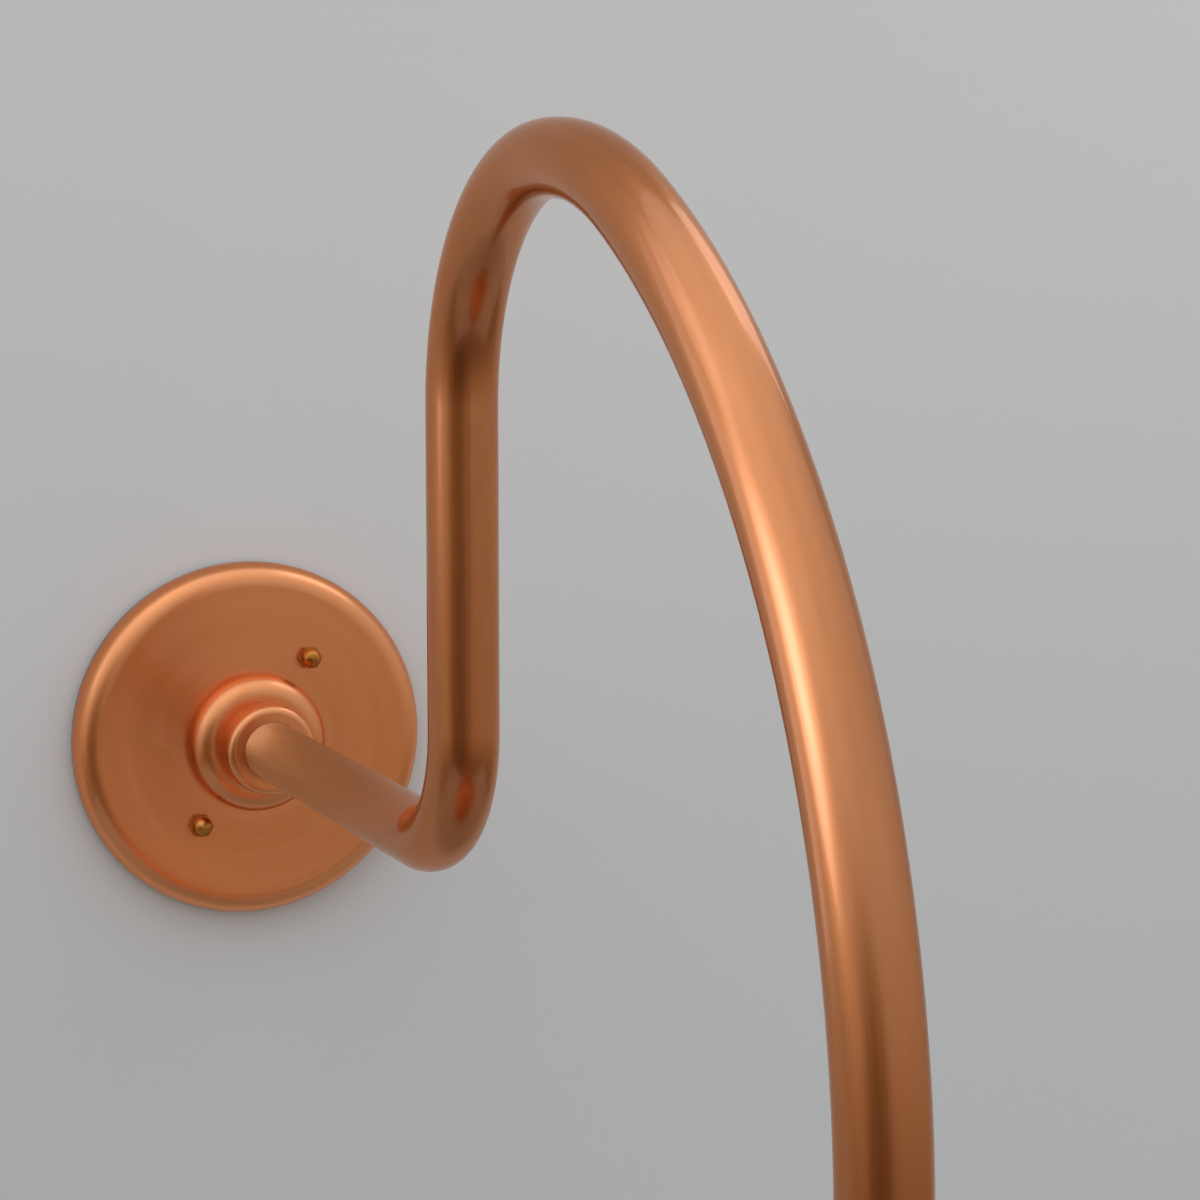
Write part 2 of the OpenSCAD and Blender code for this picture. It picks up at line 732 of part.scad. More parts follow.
module shade_holder() {
    r = holder_d / 2;
    bore_r = stem_thread_d / 2 + thread_gap;
    round_c = [r - holder_round, holder_top - holder_round];
    color(copper) at_pivot(0) difference() {
        turned(concat([[bore_r, holder_top]], arc(round_c, holder_round, 90, 0, 18),
            [[r, holder_bottom], [r - holder_wall, holder_bottom]],
            arc(round_c, holder_round - holder_wall, 0, 90, 18), [[bore_r, holder_top - holder_wall]]));
        at_shade_screws() translate([0, 0, -2]) cylinder(r = shade_screw_d / 2 + thread_gap, h = 6);
    }
}

// Places a child on each shade screw's axis, with z = 0 on the holder's outer face
module at_shade_screws() {
    for (a = [30, 150, 270]) translate([0, 0, shade_screw_z]) rotate([0, 0, a]) rotate([0, 90, 0])
        translate([0, 0, holder_d / 2 - holder_wall]) children();
}

module holder_seal() {
    color(rubber_tone) at_pivot(strap_top) ring(seal_d / 2, stem_thread_d / 2 + thread_gap, seal_t);
}

module socket_bracket() {
    half = strap_span / 2;
    color(steel_tone) at_pivot(0) difference() {
        union() {
            translate([-strap_w / 2, -half, stem_washer_top]) cube([strap_w, strap_span, strap_t]);
            for (side = [0, 1]) mirror([0, side, 0]) {
                translate([-strap_w / 2, half - strap_t, socket_z]) cube([strap_w, strap_t, strap_h]);
                translate([-strap_w / 2, half - bracket_foot, socket_z]) cube([strap_w, bracket_foot, strap_t]);
            }
        }
        translate([0, 0, stem_washer_top - 1]) cylinder(r = stem_thread_d / 2 + thread_gap, h = strap_t + 2);
        at_bracket_screws() cylinder(r = screw_bore, h = strap_t * 3, center = true);
    }
}

// Places a child on each bracket screw's axis, at the top of the socket
module at_bracket_screws() {
    for (side = [-1, 1]) translate([0, side * (strap_span / 2 - strap_t - small_screw_d), socket_z]) children();
}

module stem_lock_washer() {
    color(steel_tone) at_pivot(stem_nut_top) ring(stem_nut_af / 2, stem_thread_d / 2 + thread_gap * 2, stem_washer_t);
}

module stem_locknut() {
    color(brass_tone) at_pivot(stem_nut_top - stem_nut_t) hex_nut(stem_nut_af, stem_thread_d / 2 + thread_gap, stem_nut_t);
}

module shade_screws() {
    reach = holder_wall + neck_gap + shade_screw_stand;
    color(brass_tone) at_pivot(0) at_shade_screws() translate([0, 0, -neck_gap]) {
        cylinder(d = shade_screw_d, h = reach + 1);
        translate([0, 0, reach]) difference() {
            cylinder(d = shade_screw_head_d, h = shade_screw_head_h);
            translate([0, 0, shade_screw_head_h])
                cube([slot_w, shade_screw_head_d * 1.2, shade_screw_slot * 2], center = true);
        }
    }
}

// Shade

module shade() {
    t = shade_wall;
    neck_top = holder_bottom + neck_grip;
    outer = concat([[neck_r, neck_top]],
        arc(neck_c, neck_round, 180, 270 - dome_slope, 8),
        arc(dome_c, dome_r, 90 - dome_slope, 90 - skirt_slope, 12),
        arc(lip_c, lip_round, 90 - skirt_slope, 0, 8));
    inner = concat(arc(lip_c, lip_round - t, 0, 90 - skirt_slope, 8),
        arc(dome_c, dome_r - t, 90 - skirt_slope, 90 - dome_slope, 12),
        arc(neck_c, neck_round + t, 270 - dome_slope, 180, 8),
        [[neck_r - t, neck_top]]);
    rim_c = [lip_r - t / 2, rim_z];
    roll = asin(t / 2 / rim_r);
    color(copper) at_pivot(0) turned(concat(outer, arc(rim_c, rim_r, 90 - roll, roll - 270, 20), inner));
}

// Socket and bulb

module porcelain_socket() {
    r = socket_d / 2;
    bore_r = cap_r + cap_gap + shell_t + 0.2;
    bottom = socket_z - socket_h;
    waist = socket_z - socket_h * 0.45;
    color(porcelain_tone) at_pivot(0) difference() {
        turned(concat([[0, socket_z]], arc([r - glaze_r, socket_z - glaze_r], glaze_r, 90, 0, 6),
            [[r, waist + glaze_r]], arc([r - glaze_r, waist + glaze_r], glaze_r, 0, -90, 6),
            [[r - waist_in, waist], [r - waist_in, waist - glaze_r]],
            [[r - 1, bottom + glaze_r + 1]], arc([r - 1 - glaze_r, bottom + glaze_r], glaze_r, 0, -90, 6),
            [[bore_r, bottom], [bore_r, shell_top], [0, shell_top]]));
        for (side = [-1, 1]) translate([side * terminal_x, 0, shell_top - 1]) cylinder(r = screw_bore, h = socket_top + 2);
        at_bracket_screws() translate([0, 0, -bracket_screw_len - 1]) cylinder(r = screw_bore, h = bracket_screw_len + 2);
    }
}

module bracket_screws() {
    color(steel_tone) at_pivot(strap_t) at_bracket_screws() slotted_screw(small_screw_d, bracket_screw_len + strap_t, 5.6, small_head_h);
}

module terminal_screws() {
    color(brass_tone) at_pivot(0) for (side = [-1, 1]) translate([side * terminal_x, 0, terminal_head])
        slotted_screw(small_screw_d, terminal_head - shell_top + strip_t, 6, small_head_h);
}

module spring_contact() {
    color(brass_tone) at_pivot(0) difference() {
        union() {
            translate([-strip_back, -strip_w / 2, shell_top - strip_t])
                cube([cap_r - cap_thread - 0.6 + strip_back, strip_w, strip_t]);
            translate([0, 0, contact_end]) cylinder(d = strip_w - 1, h = contact_h + strip_t / 2);
        }
        translate([terminal_x, 0, shell_top - 2]) cylinder(r = screw_bore, h = 4);
    }
}

// Radius of a round-topped screw thread of outer radius r, at a height under the pivot
function thread_at(r, z) = r - cap_thread * (1 - cos(360 * (shell_top - z) / cap_pitch)) / 2;

// Outline of that thread from the height top down by h, as [radius, height]
function thread_line(r, top, h) = [for (i = [0:ceil(h / cap_pitch * 8)])
    let (z = max(top - i * cap_pitch / 8, top - h)) [thread_at(r, z), z]];

function backwards(v) = [for (i = [len(v) - 1:-1:0]) v[i]];

module screw_shell() {
    r = cap_r + cap_gap;
    color(brass_tone) at_pivot(0) difference() {
        union() {
            turned(concat(thread_line(r + shell_t, shell_top, shell_h), backwards(thread_line(r, shell_top, shell_h))));
            translate([-r - shell_t / 2, -strip_w / 2, shell_top - strip_t])
                cube([r + shell_t / 2 - strip_back - 3, strip_w, strip_t]);
        }
        translate([-terminal_x, 0, shell_top - 2]) cylinder(r = screw_bore, h = 4);
    }
}

// A lead from the pivot to its terminal on the socket
module socket_lead(side) {
    level = socket_z + wire_r + 0.1;
    turn = level + wire_bend;
    run = terminal_x - small_screw_d / 2 - 0.05 - wire_side - wire_bend;
    at_pivot(0) mirror([side < 0 ? 1 : 0, 0, 0]) {
        translate([wire_side, 0, turn]) cylinder(r = wire_r, h = -wire_end_gap - turn, $fn = 24);
        translate([wire_side + wire_bend, 0, turn]) rotate([90, 0, 0]) rotate([0, 0, 180])
            rotate_extrude(angle = 90) translate([wire_bend, 0]) circle(r = wire_r, $fn = 24);
        translate([wire_side + wire_bend, 0, level]) rotate([0, 90, 0]) cylinder(r = wire_r, h = run, $fn = 24);
    }
}

module live_lead() color("#1f1f1f") socket_lead(1);

module neutral_lead() color("#e6e6e0") socket_lead(-1);

module bulb_contact() {
    color(steel_tone) at_pivot(cap_top + insulator_h)
        turned([[0, 0], [tip_r, 0], [tip_r, tip_h * 0.4], [tip_r * 0.7, tip_h], [0, tip_h]]);
}

module bulb_insulator() {
    color(rubber_tone) at_pivot(cap_top) turned([[0, 0], [insulator_r, 0], [tip_r + 0.9, insulator_h], [0, insulator_h]]);
}

module bulb_cap() {
    outer = thread_line(cap_r, cap_top - 1, cap_h - 1);
    skirt_r = cap_r - cap_thread;
    skirt_z = cap_top - cap_h - cap_skirt;
    color(steel_tone) at_pivot(0) turned(concat([[0, cap_top]], [[insulator_r, cap_top]], outer,
        [[skirt_r, skirt_z], [skirt_r - cap_t, skirt_z], [skirt_r - cap_t, cap_top - 2], [0, cap_top - 2]]));
}

// Angle at which the flank from the glass neck touches the globe of radius r
function flank_angle(p, r) = atan2(p[1] - glass_c[1], p[0]) - acos(r / norm(p - glass_c));

module bulb_glass() {
    r = bulb_d / 2;
    p_in = flare - [glass_t, 0];
    color("#dfe6e8", 0.4) at_pivot(0) turned(concat([[glass_neck_d / 2, glass_top]], [flare],
        arc(glass_c, r, flank_angle(flare, r), -90, 32), arc(glass_c, r - glass_t, -90, flank_angle(p_in, r - glass_t), 32),
        [p_in], [[glass_in_r, glass_top]]));
}

module bulb_stem() {
    color("#dfe6e8", 0.4) at_pivot(0) turned(concat([[0, glass_top], [stem_r, glass_top],
        [stem_r, glass_top - 1.5], [pinch_r * 2, glass_top - 3.5], [pinch_r, stem_tip + 6]],
        arc([0, stem_tip + 2], 2, 0, -90, 6)));
}

// Places a child at the upper end of each filament
module at_filaments() {
    for (i = [0:3]) rotate([0, 0, 45 + i * 90]) translate([filament_ring, 0, filament_high]) children();
}

module filament_supports() {
    color(steel_tone) at_pivot(0) {
        translate([0, 0, filament_low]) cylinder(r = support_r, h = stem_tip - filament_low, $fn = 24);
        for (i = [0:3]) rotate([0, 0, 45 + i * 90]) {
            translate([0, 0, filament_high + 1]) rotate([0, 90, 0]) cylinder(r = support_r, h = filament_ring, $fn = 24);
            translate([0, 0, filament_low + support_r]) rotate([0, 90, 0])
                cylinder(r = support_r, h = filament_ring - filament_d / 2 - 0.05, $fn = 24);
        }
    }
}

module light_filaments() {
    color("#e8c23a") at_pivot(0) at_filaments() translate([0, 0, -filament_len])
        cylinder(d = filament_d, h = filament_len, $fn = 24);
}

wall_gasket();
mounting_bracket();
plate_studs();
stud_locknuts();
ground_screw();
ground_lead();
wire_connectors();
wall_plate();
cap_nuts();
arm_plug();
plug_lock_washer();
plug_locknut();
hub_boss();
hub_collar();
collar_set_screw();
arm_tube();
live_wire();
neutral_wire();
arm_coupling();
coupling_set_screw();
swivel_fork();
friction_washers();
swivel_tongue();
pivot_screws();
shade_holder();
holder_seal();
socket_bracket();
stem_lock_washer();
stem_locknut();
shade_screws();
shade();
porcelain_socket();
bracket_screws();
terminal_screws();
spring_contact();
screw_shell();
live_lead();
neutral_lead();
bulb_contact();
bulb_insulator();
bulb_cap();
bulb_glass();
bulb_stem();
filament_supports();
light_filaments();
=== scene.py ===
"""Gooseneck barn light in lacquered copper, dressed and lit for a studio picture.

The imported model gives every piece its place. This script gives each piece its finish, makes the bent and
spun copper pieces finely, and sets up a plain grey wall, a pale floor, soft lamps and the camera.
Lengths are in metres unless a name ends in _mm.
"""
import sys
import json
import logging
import math
from dataclasses import dataclass, field
from enum import Enum

import bpy
from mathutils import Matrix, Vector


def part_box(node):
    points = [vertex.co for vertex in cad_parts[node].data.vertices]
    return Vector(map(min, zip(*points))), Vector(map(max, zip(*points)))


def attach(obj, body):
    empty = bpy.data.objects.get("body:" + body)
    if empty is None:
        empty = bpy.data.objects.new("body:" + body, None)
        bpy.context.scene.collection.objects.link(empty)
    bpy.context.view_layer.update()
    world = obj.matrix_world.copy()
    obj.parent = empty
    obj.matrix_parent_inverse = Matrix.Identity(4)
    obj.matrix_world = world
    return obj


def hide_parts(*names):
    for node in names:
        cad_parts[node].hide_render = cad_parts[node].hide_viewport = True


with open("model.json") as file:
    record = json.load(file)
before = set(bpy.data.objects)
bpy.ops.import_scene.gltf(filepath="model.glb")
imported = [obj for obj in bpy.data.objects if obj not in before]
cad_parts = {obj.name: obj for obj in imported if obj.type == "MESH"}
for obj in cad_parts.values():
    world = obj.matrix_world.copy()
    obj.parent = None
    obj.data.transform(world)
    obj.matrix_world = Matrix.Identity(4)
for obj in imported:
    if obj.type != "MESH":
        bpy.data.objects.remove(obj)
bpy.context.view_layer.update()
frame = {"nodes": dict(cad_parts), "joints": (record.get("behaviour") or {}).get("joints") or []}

MM = 0.001
# Shaders and picture coordinates count angles in whole turns.
HALF_TURN, QUARTER_TURN = 0.5, 0.25
# Noise seldom leaves this range, so this is the range that it is spread from.
NOISE_LOW, NOISE_HIGH = 0.3, 0.7
# The way round a turned piece is measured at this distance from its axis.
UNROLL_R = 20 * MM
# The sRGB curve: the end and the slope of its straight part, and the offset and power of the rest.
SRGB_KNEE, SRGB_SLOPE, SRGB_OFFSET, SRGB_POWER = 0.04045, 12.92, 0.055, 2.4
# The colour sockets of the Mix node, whose other kinds of socket have the same names.
MIX_FIRST, MIX_SECOND, MIX_RESULT = 6, 7, 2
LOG = logging.getLogger("barn_light")
Colour = tuple[float, float, float, float]
Point = tuple[float, float]


class Body(Enum):
    """The two bodies that the pieces ride on."""

    WALL_ARM = "wall_arm"
    SHADE_HEAD = "shade_head"


class Lay(Enum):
    """How the marks of making run over a surface."""

    ALONG_TUBE = "along the bent tube"
    ROUND_STUB = "round the stub's axis, square to the wall"
    ROUND_SHADE = "round the shade's axis"
    ALL_WAYS = "all ways alike"


class Detail(Enum):
    """How many finer layers a noise has over its widest one."""

    NONE = 0.0
    LITTLE = 1.0
    SOME = 2.0
    MUCH = 3.0


def linear(hex_colour: str) -> Colour:
    """Turns an sRGB hex colour into the linear values that shaders take.

    Args:
        hex_colour: six hex digits after a hash, such as "#C07A4E".

    Returns:
        Red, green and blue from 0 to 1 in linear light, and an alpha of 1.
    """
    channels = (int(hex_colour[i:i + 2], 16) / 255 for i in (1, 3, 5))
    red, green, blue = (
        c / SRGB_SLOPE if c <= SRGB_KNEE else ((c + SRGB_OFFSET) / (1 + SRGB_OFFSET)) ** SRGB_POWER
        for c in channels)
    return red, green, blue, 1.0


def add_node(tree: bpy.types.NodeTree, kind: str, inputs: dict | None = None, **fields) -> bpy.types.Node:
    """Adds a node, sets its fields and fills or links its inputs.

    Args:
        tree: the node tree that takes the node.
        kind: Blender's name of the node type.
        inputs: an input's name or number, with a value for it or another node's output to link to it.
        fields: the node's own settings.

    Returns:
        The new node.
    """
    node = tree.nodes.new(kind)
    for name, value in fields.items():
        setattr(node, name, value)
    for key, value in (inputs or {}).items():
        if isinstance(value, bpy.types.NodeSocket):
            tree.links.new(value, node.inputs[key])
        else:
            node.inputs[key].default_value = value
    return node


def mixed_colour(tree: bpy.types.NodeTree, share: bpy.types.NodeSocket, first: Colour | bpy.types.NodeSocket,
                 second: Colour, blend_type: str = "MIX") -> bpy.types.NodeSocket:
    """Mixes two colours.

    Args:
        tree: the node tree that takes the node.
        share: the second colour's share, from 0 to 1.
        first: the first colour.
        second: the second colour.
        blend_type: Blender's name of the way of mixing.

    Returns:
        The colour as an output.
    """
    inputs = {0: share, MIX_FIRST: first, MIX_SECOND: second}
    node = add_node(tree, "ShaderNodeMix", inputs, data_type="RGBA", blend_type=blend_type)
    return node.outputs[MIX_RESULT]


def new_tree(name: str) -> tuple[bpy.types.Material, bpy.types.NodeTree]:
    """Makes a material with an empty node tree.

    Args:
        name: the material's name.

    Returns:
        The material and its tree.
    """
    material = bpy.data.materials.new(name)
    material.use_nodes = True
    material.node_tree.nodes.clear()
    return material, material.node_tree


def limb_axis() -> Vector:
    """Gives a point on the axis of the shade and the arm's end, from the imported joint."""
    return Vector(frame["joints"][0]["pos_m"])


@dataclass(frozen=True)
class Finish:
    """A surface finish; subclasses add what the making of the surface gives the eye."""

    name: str
    colour: str
    roughness: float
    metallic: float = 0.0
    lay: Lay = Lay.ALL_WAYS
    swing: float = 0.0

    def place(self, tree: bpy.types.NodeTree) -> bpy.types.NodeSocket:
        """Gives the place on the surface in millimetres, drawn out along the way that the marks run.

        Args:
            tree: the material's tree.

        Returns:
            A vector output whose z axis, and only that, runs along the marks.
        """
        if self.lay is Lay.ALONG_TUBE:
            source = add_node(tree, "ShaderNodeAttribute", attribute_name=BentTube.UNBENT).outputs["Vector"]
        else:
            source = add_node(tree, "ShaderNodeTexCoord").outputs["Object"]
        if self.lay in (Lay.ROUND_STUB, Lay.ROUND_SHADE):
            source = self.turned_place(tree, source)
        place = add_node(tree, "ShaderNodeVectorMath", {0: source, "Scale": 1 / MM}, operation="SCALE")
        return place.outputs[0]

    def turned_place(self, tree: bpy.types.NodeTree, source: bpy.types.NodeSocket) -> bpy.types.NodeSocket:
        """Unrolls a place about the axis that the piece was turned on.

        Args:
            tree: the material's tree.
            source: the place as a vector in metres.

        Returns:
            The distance from the axis, the distance along it, and the way round it.
        """
        wall_side = self.lay is Lay.ROUND_STUB
        centre = Vector((0, 0, 0)) if wall_side else limb_axis()
        from_axis = add_node(tree, "ShaderNodeVectorMath", {0: source, 1: centre}, operation="SUBTRACT")
        split = add_node(tree, "ShaderNodeSeparateXYZ", {0: from_axis.outputs[0]}).outputs
        across, along = (split["Z"], split["Y"]) if wall_side else (split["Y"], split["Z"])
        flat = add_node(tree, "ShaderNodeCombineXYZ", {"X": split["X"], "Y": across}).outputs[0]
        distance = add_node(tree, "ShaderNodeVectorMath", {0: flat}, operation="LENGTH").outputs["Value"]
        angle = add_node(tree, "ShaderNodeMath", {0: across, 1: split["X"]}, operation="ARCTAN2").outputs[0]
        way_round = add_node(tree, "ShaderNodeMath", {0: angle, 1: UNROLL_R}, operation="MULTIPLY").outputs[0]
        return add_node(tree, "ShaderNodeCombineXYZ", {"X": distance, "Y": along, "Z": way_round}).outputs[0]

    def stretched(self, tree: bpy.types.NodeTree, across_mm: float, along_mm: float,
                  detail: Detail = Detail.SOME) -> bpy.types.NodeSocket:
        """Gives noise whose grains have a real size across and along the marks.

        Args:
            tree: the material's tree.
            across_mm: size of a grain across the marks.
            along_mm: size of a grain along the marks.
            detail: how many finer layers the noise has.

        Returns:
            The noise, about 0.5, as a value output.
        """
        scale = Vector((1 / across_mm, 1 / across_mm, 1 / along_mm))
        place = add_node(tree, "ShaderNodeVectorMath", {0: self.place(tree), 1: scale}, operation="MULTIPLY")
        inputs = {"Vector": place.outputs[0], "Scale": 1.0, "Detail": detail.value}
        return add_node(tree, "ShaderNodeTexNoise", inputs).outputs["Fac"]

    def ranged(self, tree: bpy.types.NodeTree, value: bpy.types.NodeSocket, low: float,
               high: float) -> bpy.types.NodeSocket:
        """Spreads noise from its usual range over another one.

        Args:
            tree: the material's tree.
            value: the noise.
            low: the new value of the noise's usual lowest one.
            high: the new value of its usual highest one.

        Returns:
            The new value as an output.
        """
        inputs = {"Value": value, "From Min": NOISE_LOW, "From Max": NOISE_HIGH,
                  "To Min": low, "To Max": high}
        return add_node(tree, "ShaderNodeMapRange", inputs).outputs["Result"]

    def toned(self, tree: bpy.types.NodeTree, value: bpy.types.NodeSocket,
              other: str) -> bpy.types.NodeSocket:
        """Mixes the finish's colour with another by noise.

        Args:
            tree: the material's tree.
            value: the noise.
            other: the other colour, in sRGB hex.

        Returns:
            The colour as an output.
        """
        share = self.ranged(tree, value, 0.0, 1.0)
        return mixed_colour(tree, share, linear(self.colour), linear(other))

    def swung(self, tree: bpy.types.NodeTree, value: bpy.types.NodeSocket) -> bpy.types.NodeSocket:
        """Changes the finish's roughness by noise, as far as its swing either way.

        Args:
            tree: the material's tree.
            value: the noise.

        Returns:
            The roughness as an output.
        """
        return self.ranged(tree, value, self.roughness - self.swing, self.roughness + self.swing)

    def bumped(self, tree: bpy.types.NodeTree,
               layers: list[tuple[bpy.types.NodeSocket, float]]) -> bpy.types.NodeSocket:
        """Lays bumps over each other.

        Args:
            tree: the material's tree.
            layers: each layer's height from 0 to 1 and its full depth in millimetres.

        Returns:
            The bent normal as an output.
        """
        normal = None
        for height, depth_mm in layers:
            inputs = {"Height": height, "Distance": depth_mm * MM, "Strength": 1.0}
            if normal is not None:
                inputs["Normal"] = normal
            normal = add_node(tree, "ShaderNodeBump", inputs).outputs["Normal"]
        return normal

    def dress(self, tree: bpy.types.NodeTree) -> dict:
        """Gives the shader's inputs beyond the plain ones.

        Args:
            tree: the material's tree.

        Returns:
            Inputs of the Principled shader, by name.
        """
        return {}

    def material(self) -> bpy.types.Material:
        """Makes the material, or finds it if it was made before.

        Returns:
            The material, named after the finish.
        """
        if self.name in bpy.data.materials:
            return bpy.data.materials[self.name]
        material, tree = new_tree(self.name)
        plain = {"Base Color": linear(self.colour), "Roughness": self.roughness, "Metallic": self.metallic}
        shader = add_node(tree, "ShaderNodeBsdfPrincipled", plain | self.dress(tree))
        add_node(tree, "ShaderNodeOutputMaterial", {"Surface": shader.outputs["BSDF"]})
        return material


@dataclass(frozen=True)
class LacqueredCopper(Finish):
    """Copper rubbed with fine abrasive and sprayed with clear lacquer.

    The rubbing leaves fine marks that widen highlights across them, and the lacquer adds a sharp weak
    reflection over the soft one of the metal. The metal keeps a warm tint at its edges.
    """

    # The axis that each turned lay runs round.
    AXES = {Lay.ROUND_STUB: "Y", Lay.ROUND_SHADE: "Z"}

    colour: str = "#CF7F49"
    deeper: str = "#C2733E"
    roughness: float = 0.3
    metallic: float = 1.0
    swing: float = 0.03
    anisotropy: float = 0.4
    edge_tint: str = "#F2D0B2"
    lacquer: float = 0.65
    lacquer_roughness: float = 0.08
    mark_mm: float = 0.35
    mark_len_mm: float = 28.0
    mark_depth_mm: float = 0.0012
    dent_mm: float = 16.0
    dent_draw: float = 2.0
    dent_depth_mm: float = 0.02
    tone_mm: float = 9.0
    tone_len_mm: float = 70.0

    def dress(self, tree: bpy.types.NodeTree) -> dict:
        """Adds rubbing marks, slow tone changes, faint unevenness and the lacquer.

        Args:
            tree: the material's tree.

        Returns:
            Inputs of the Principled shader, by name.
        """
        marks = self.stretched(tree, self.mark_mm, self.mark_len_mm)
        dents = self.stretched(tree, self.dent_mm, self.dent_mm * self.dent_draw, Detail.NONE)
        tones = self.stretched(tree, self.tone_mm, self.tone_len_mm, Detail.MUCH)
        inputs = {
            "Base Color": self.toned(tree, tones, self.deeper),
            "Roughness": self.swung(tree, marks),
            "Specular Tint": linear(self.edge_tint),
            "Anisotropic": self.anisotropy,
            "Coat Weight": self.lacquer,
            "Coat Roughness": self.lacquer_roughness,
            "Normal": self.bumped(tree, [(dents, self.dent_depth_mm), (marks, self.mark_depth_mm)]),
        }
        if self.lay is Lay.ALONG_TUBE:
            inputs["Tangent"] = add_node(tree, "ShaderNodeTangent", direction_type="UV_MAP").outputs[0]
        elif self.lay in self.AXES:
            inputs["Tangent"] = add_node(tree, "ShaderNodeTangent", axis=self.AXES[self.lay]).outputs[0]
            inputs["Anisotropic Rotation"] = QUARTER_TURN
        return inputs


@dataclass(frozen=True)
class TurnedMetal(Finish):
    """Bar metal turned on a lathe, or sheet pressed and barrelled, then plated or left bright.

    Fine tool marks and small changes of gloss keep it from looking like plastic.
    """

    deeper: str = "#B08A48"
    metallic: float = 1.0
    swing: float = 0.05
    mark_mm: float = 0.25
    mark_len_mm: float = 6.0
    mark_depth_mm: float = 0.002
    tone_mm: float = 2.5
    tone_len_mm: float = 5.0

    def dress(self, tree: bpy.types.NodeTree) -> dict:
        """Adds tool marks and patches of another tone.

        Args:
            tree: the material's tree.

        Returns:
            Inputs of the Principled shader, by name.
        """
        marks = self.stretched(tree, self.mark_mm, self.mark_len_mm)
        tones = self.stretched(tree, self.tone_mm, self.tone_len_mm, Detail.MUCH)
        return {
            "Base Color": self.toned(tree, tones, self.deeper),
            "Roughness": self.swung(tree, marks),
            "Normal": self.bumped(tree, [(marks, self.mark_depth_mm)]),
        }


@dataclass(frozen=True)
class Moulded(Finish):
    """Plastic, rubber, foam or glass from a mould or a die: even colour with a fine grain."""

    deeper: str = "#101010"
    swing: float = 0.06
    grain_mm: float = 0.3
    grain_depth_mm: float = 0.01
    tone_mm: float = 6.0

    def dress(self, tree: bpy.types.NodeTree) -> dict:
        """Adds the mould's grain and a slight change of tone.

        Args:
            tree: the material's tree.

        Returns:
            Inputs of the Principled shader, by name.
        """
        grain = self.stretched(tree, self.grain_mm, self.grain_mm)
        tones = self.stretched(tree, self.tone_mm, self.tone_mm)
        return {
            "Base Color": self.toned(tree, tones, self.deeper),
            "Roughness": self.swung(tree, grain),
            "Normal": self.bumped(tree, [(grain, self.grain_depth_mm)]),
        }


@dataclass(frozen=True)
class GlazedPorcelain(Finish):
    """Pressed porcelain fired with a clear glaze: warm white under a glossy, slightly wavy coat."""

    deeper: str = "#E4DFD2"
    cloud_mm: float = 7.0
    wave_mm: float = 3.5
    wave_depth_mm: float = 0.02
    glow: float = 0.15
    glow_reach_mm: tuple[float, float, float] = (2.0, 1.6, 1.2)
    glaze: float = 1.0
    glaze_roughness: float = 0.03

    def dress(self, tree: bpy.types.NodeTree) -> dict:
        """Adds the glaze, its slow waves and the paste's warmer clouds.

        Args:
            tree: the material's tree.

        Returns:
            Inputs of the Principled shader, by name.
        """
        waves = self.stretched(tree, self.wave_mm, self.wave_mm, Detail.LITTLE)
        clouds = self.stretched(tree, self.cloud_mm, self.cloud_mm, Detail.MUCH)
        return {
            "Base Color": self.toned(tree, clouds, self.deeper),
            "Subsurface Weight": self.glow,
            "Subsurface Radius": tuple(reach * MM for reach in self.glow_reach_mm),
            "Subsurface Scale": 1.0,
            "Coat Weight": self.glaze,
            "Coat Roughness": self.glaze_roughness,
            "Normal": self.bumped(tree, [(waves, self.wave_depth_mm)]),
        }


@dataclass(frozen=True)
class BlownGlass(Finish):
    """Clear soda-lime glass blown in a mould: nearly colourless, with faint waves in its thickness."""

    ior: float = 1.52
    clearness: float = 1.0
    wave_mm: float = 9.0
    wave_len_mm: float = 14.0
    wave_depth_mm: float = 0.03

    def dress(self, tree: bpy.types.NodeTree) -> dict:
        """Adds full transmission and the waves.

        Args:
            tree: the material's tree.

        Returns:
            Inputs of the Principled shader, by name.
        """
        waves = self.stretched(tree, self.wave_mm, self.wave_len_mm, Detail.LITTLE)
        return {
            "Transmission Weight": self.clearness,
            "IOR": self.ior,
            "Normal": self.bumped(tree, [(waves, self.wave_depth_mm)]),
        }


# Drawn tube: rubbed along its length, so that each highlight spreads round it into a broad soft band.
TUBE_COPPER = LacqueredCopper("drawn_copper_tube_rubbed_lengthwise_and_lacquered", lay=Lay.ALONG_TUBE)
# Spun sheet: faint rings fan the light out from the axis. The plate and hub are painted a lighter copper than
# the tube. This is painted light, standing in for the brighter reflections that they catch.
WALL_COPPER_PAINTED_LIGHTER = LacqueredCopper("spun_copper_of_the_wall_plate_lacquered_painted_lighter", colour="#F49A60", deeper="#E88D51",
                              roughness=0.32, lay=Lay.ROUND_STUB)
# The shade is wider, so that its hollows are shallower and its reflections run calmly round it.
SHADE_COPPER = LacqueredCopper("spun_copper_of_the_shade_lacquered", roughness=0.32, lay=Lay.ROUND_SHADE,
                               dent_mm=24.0, dent_depth_mm=0.008)
# Bar brass straight from the lathe: small yellow glints that part into fine lines.
BRASS = TurnedMetal("turned_brass", "#D9AE62", 0.24, deeper="#C4934A")
# The same brass after years in the open: browner, softer glints that sit quietly on the copper.
WARM_BRASS = TurnedMetal("turned_brass_aged_warm", "#CE8A44", 0.3, deeper="#B06A2C")
# Zinc on pressed steel: a cool grey with cloudy patches.
STEEL = TurnedMetal("pressed_steel_zinc_plated", "#C3C6C8", 0.34, deeper="#A9ADB1", mark_mm=0.6)
# Nickel on rolled brass: a warmer and sharper silver than the zinc.
NICKEL = TurnedMetal("rolled_brass_nickel_plated", "#CFCBC2", 0.2, deeper="#BBB6AC")
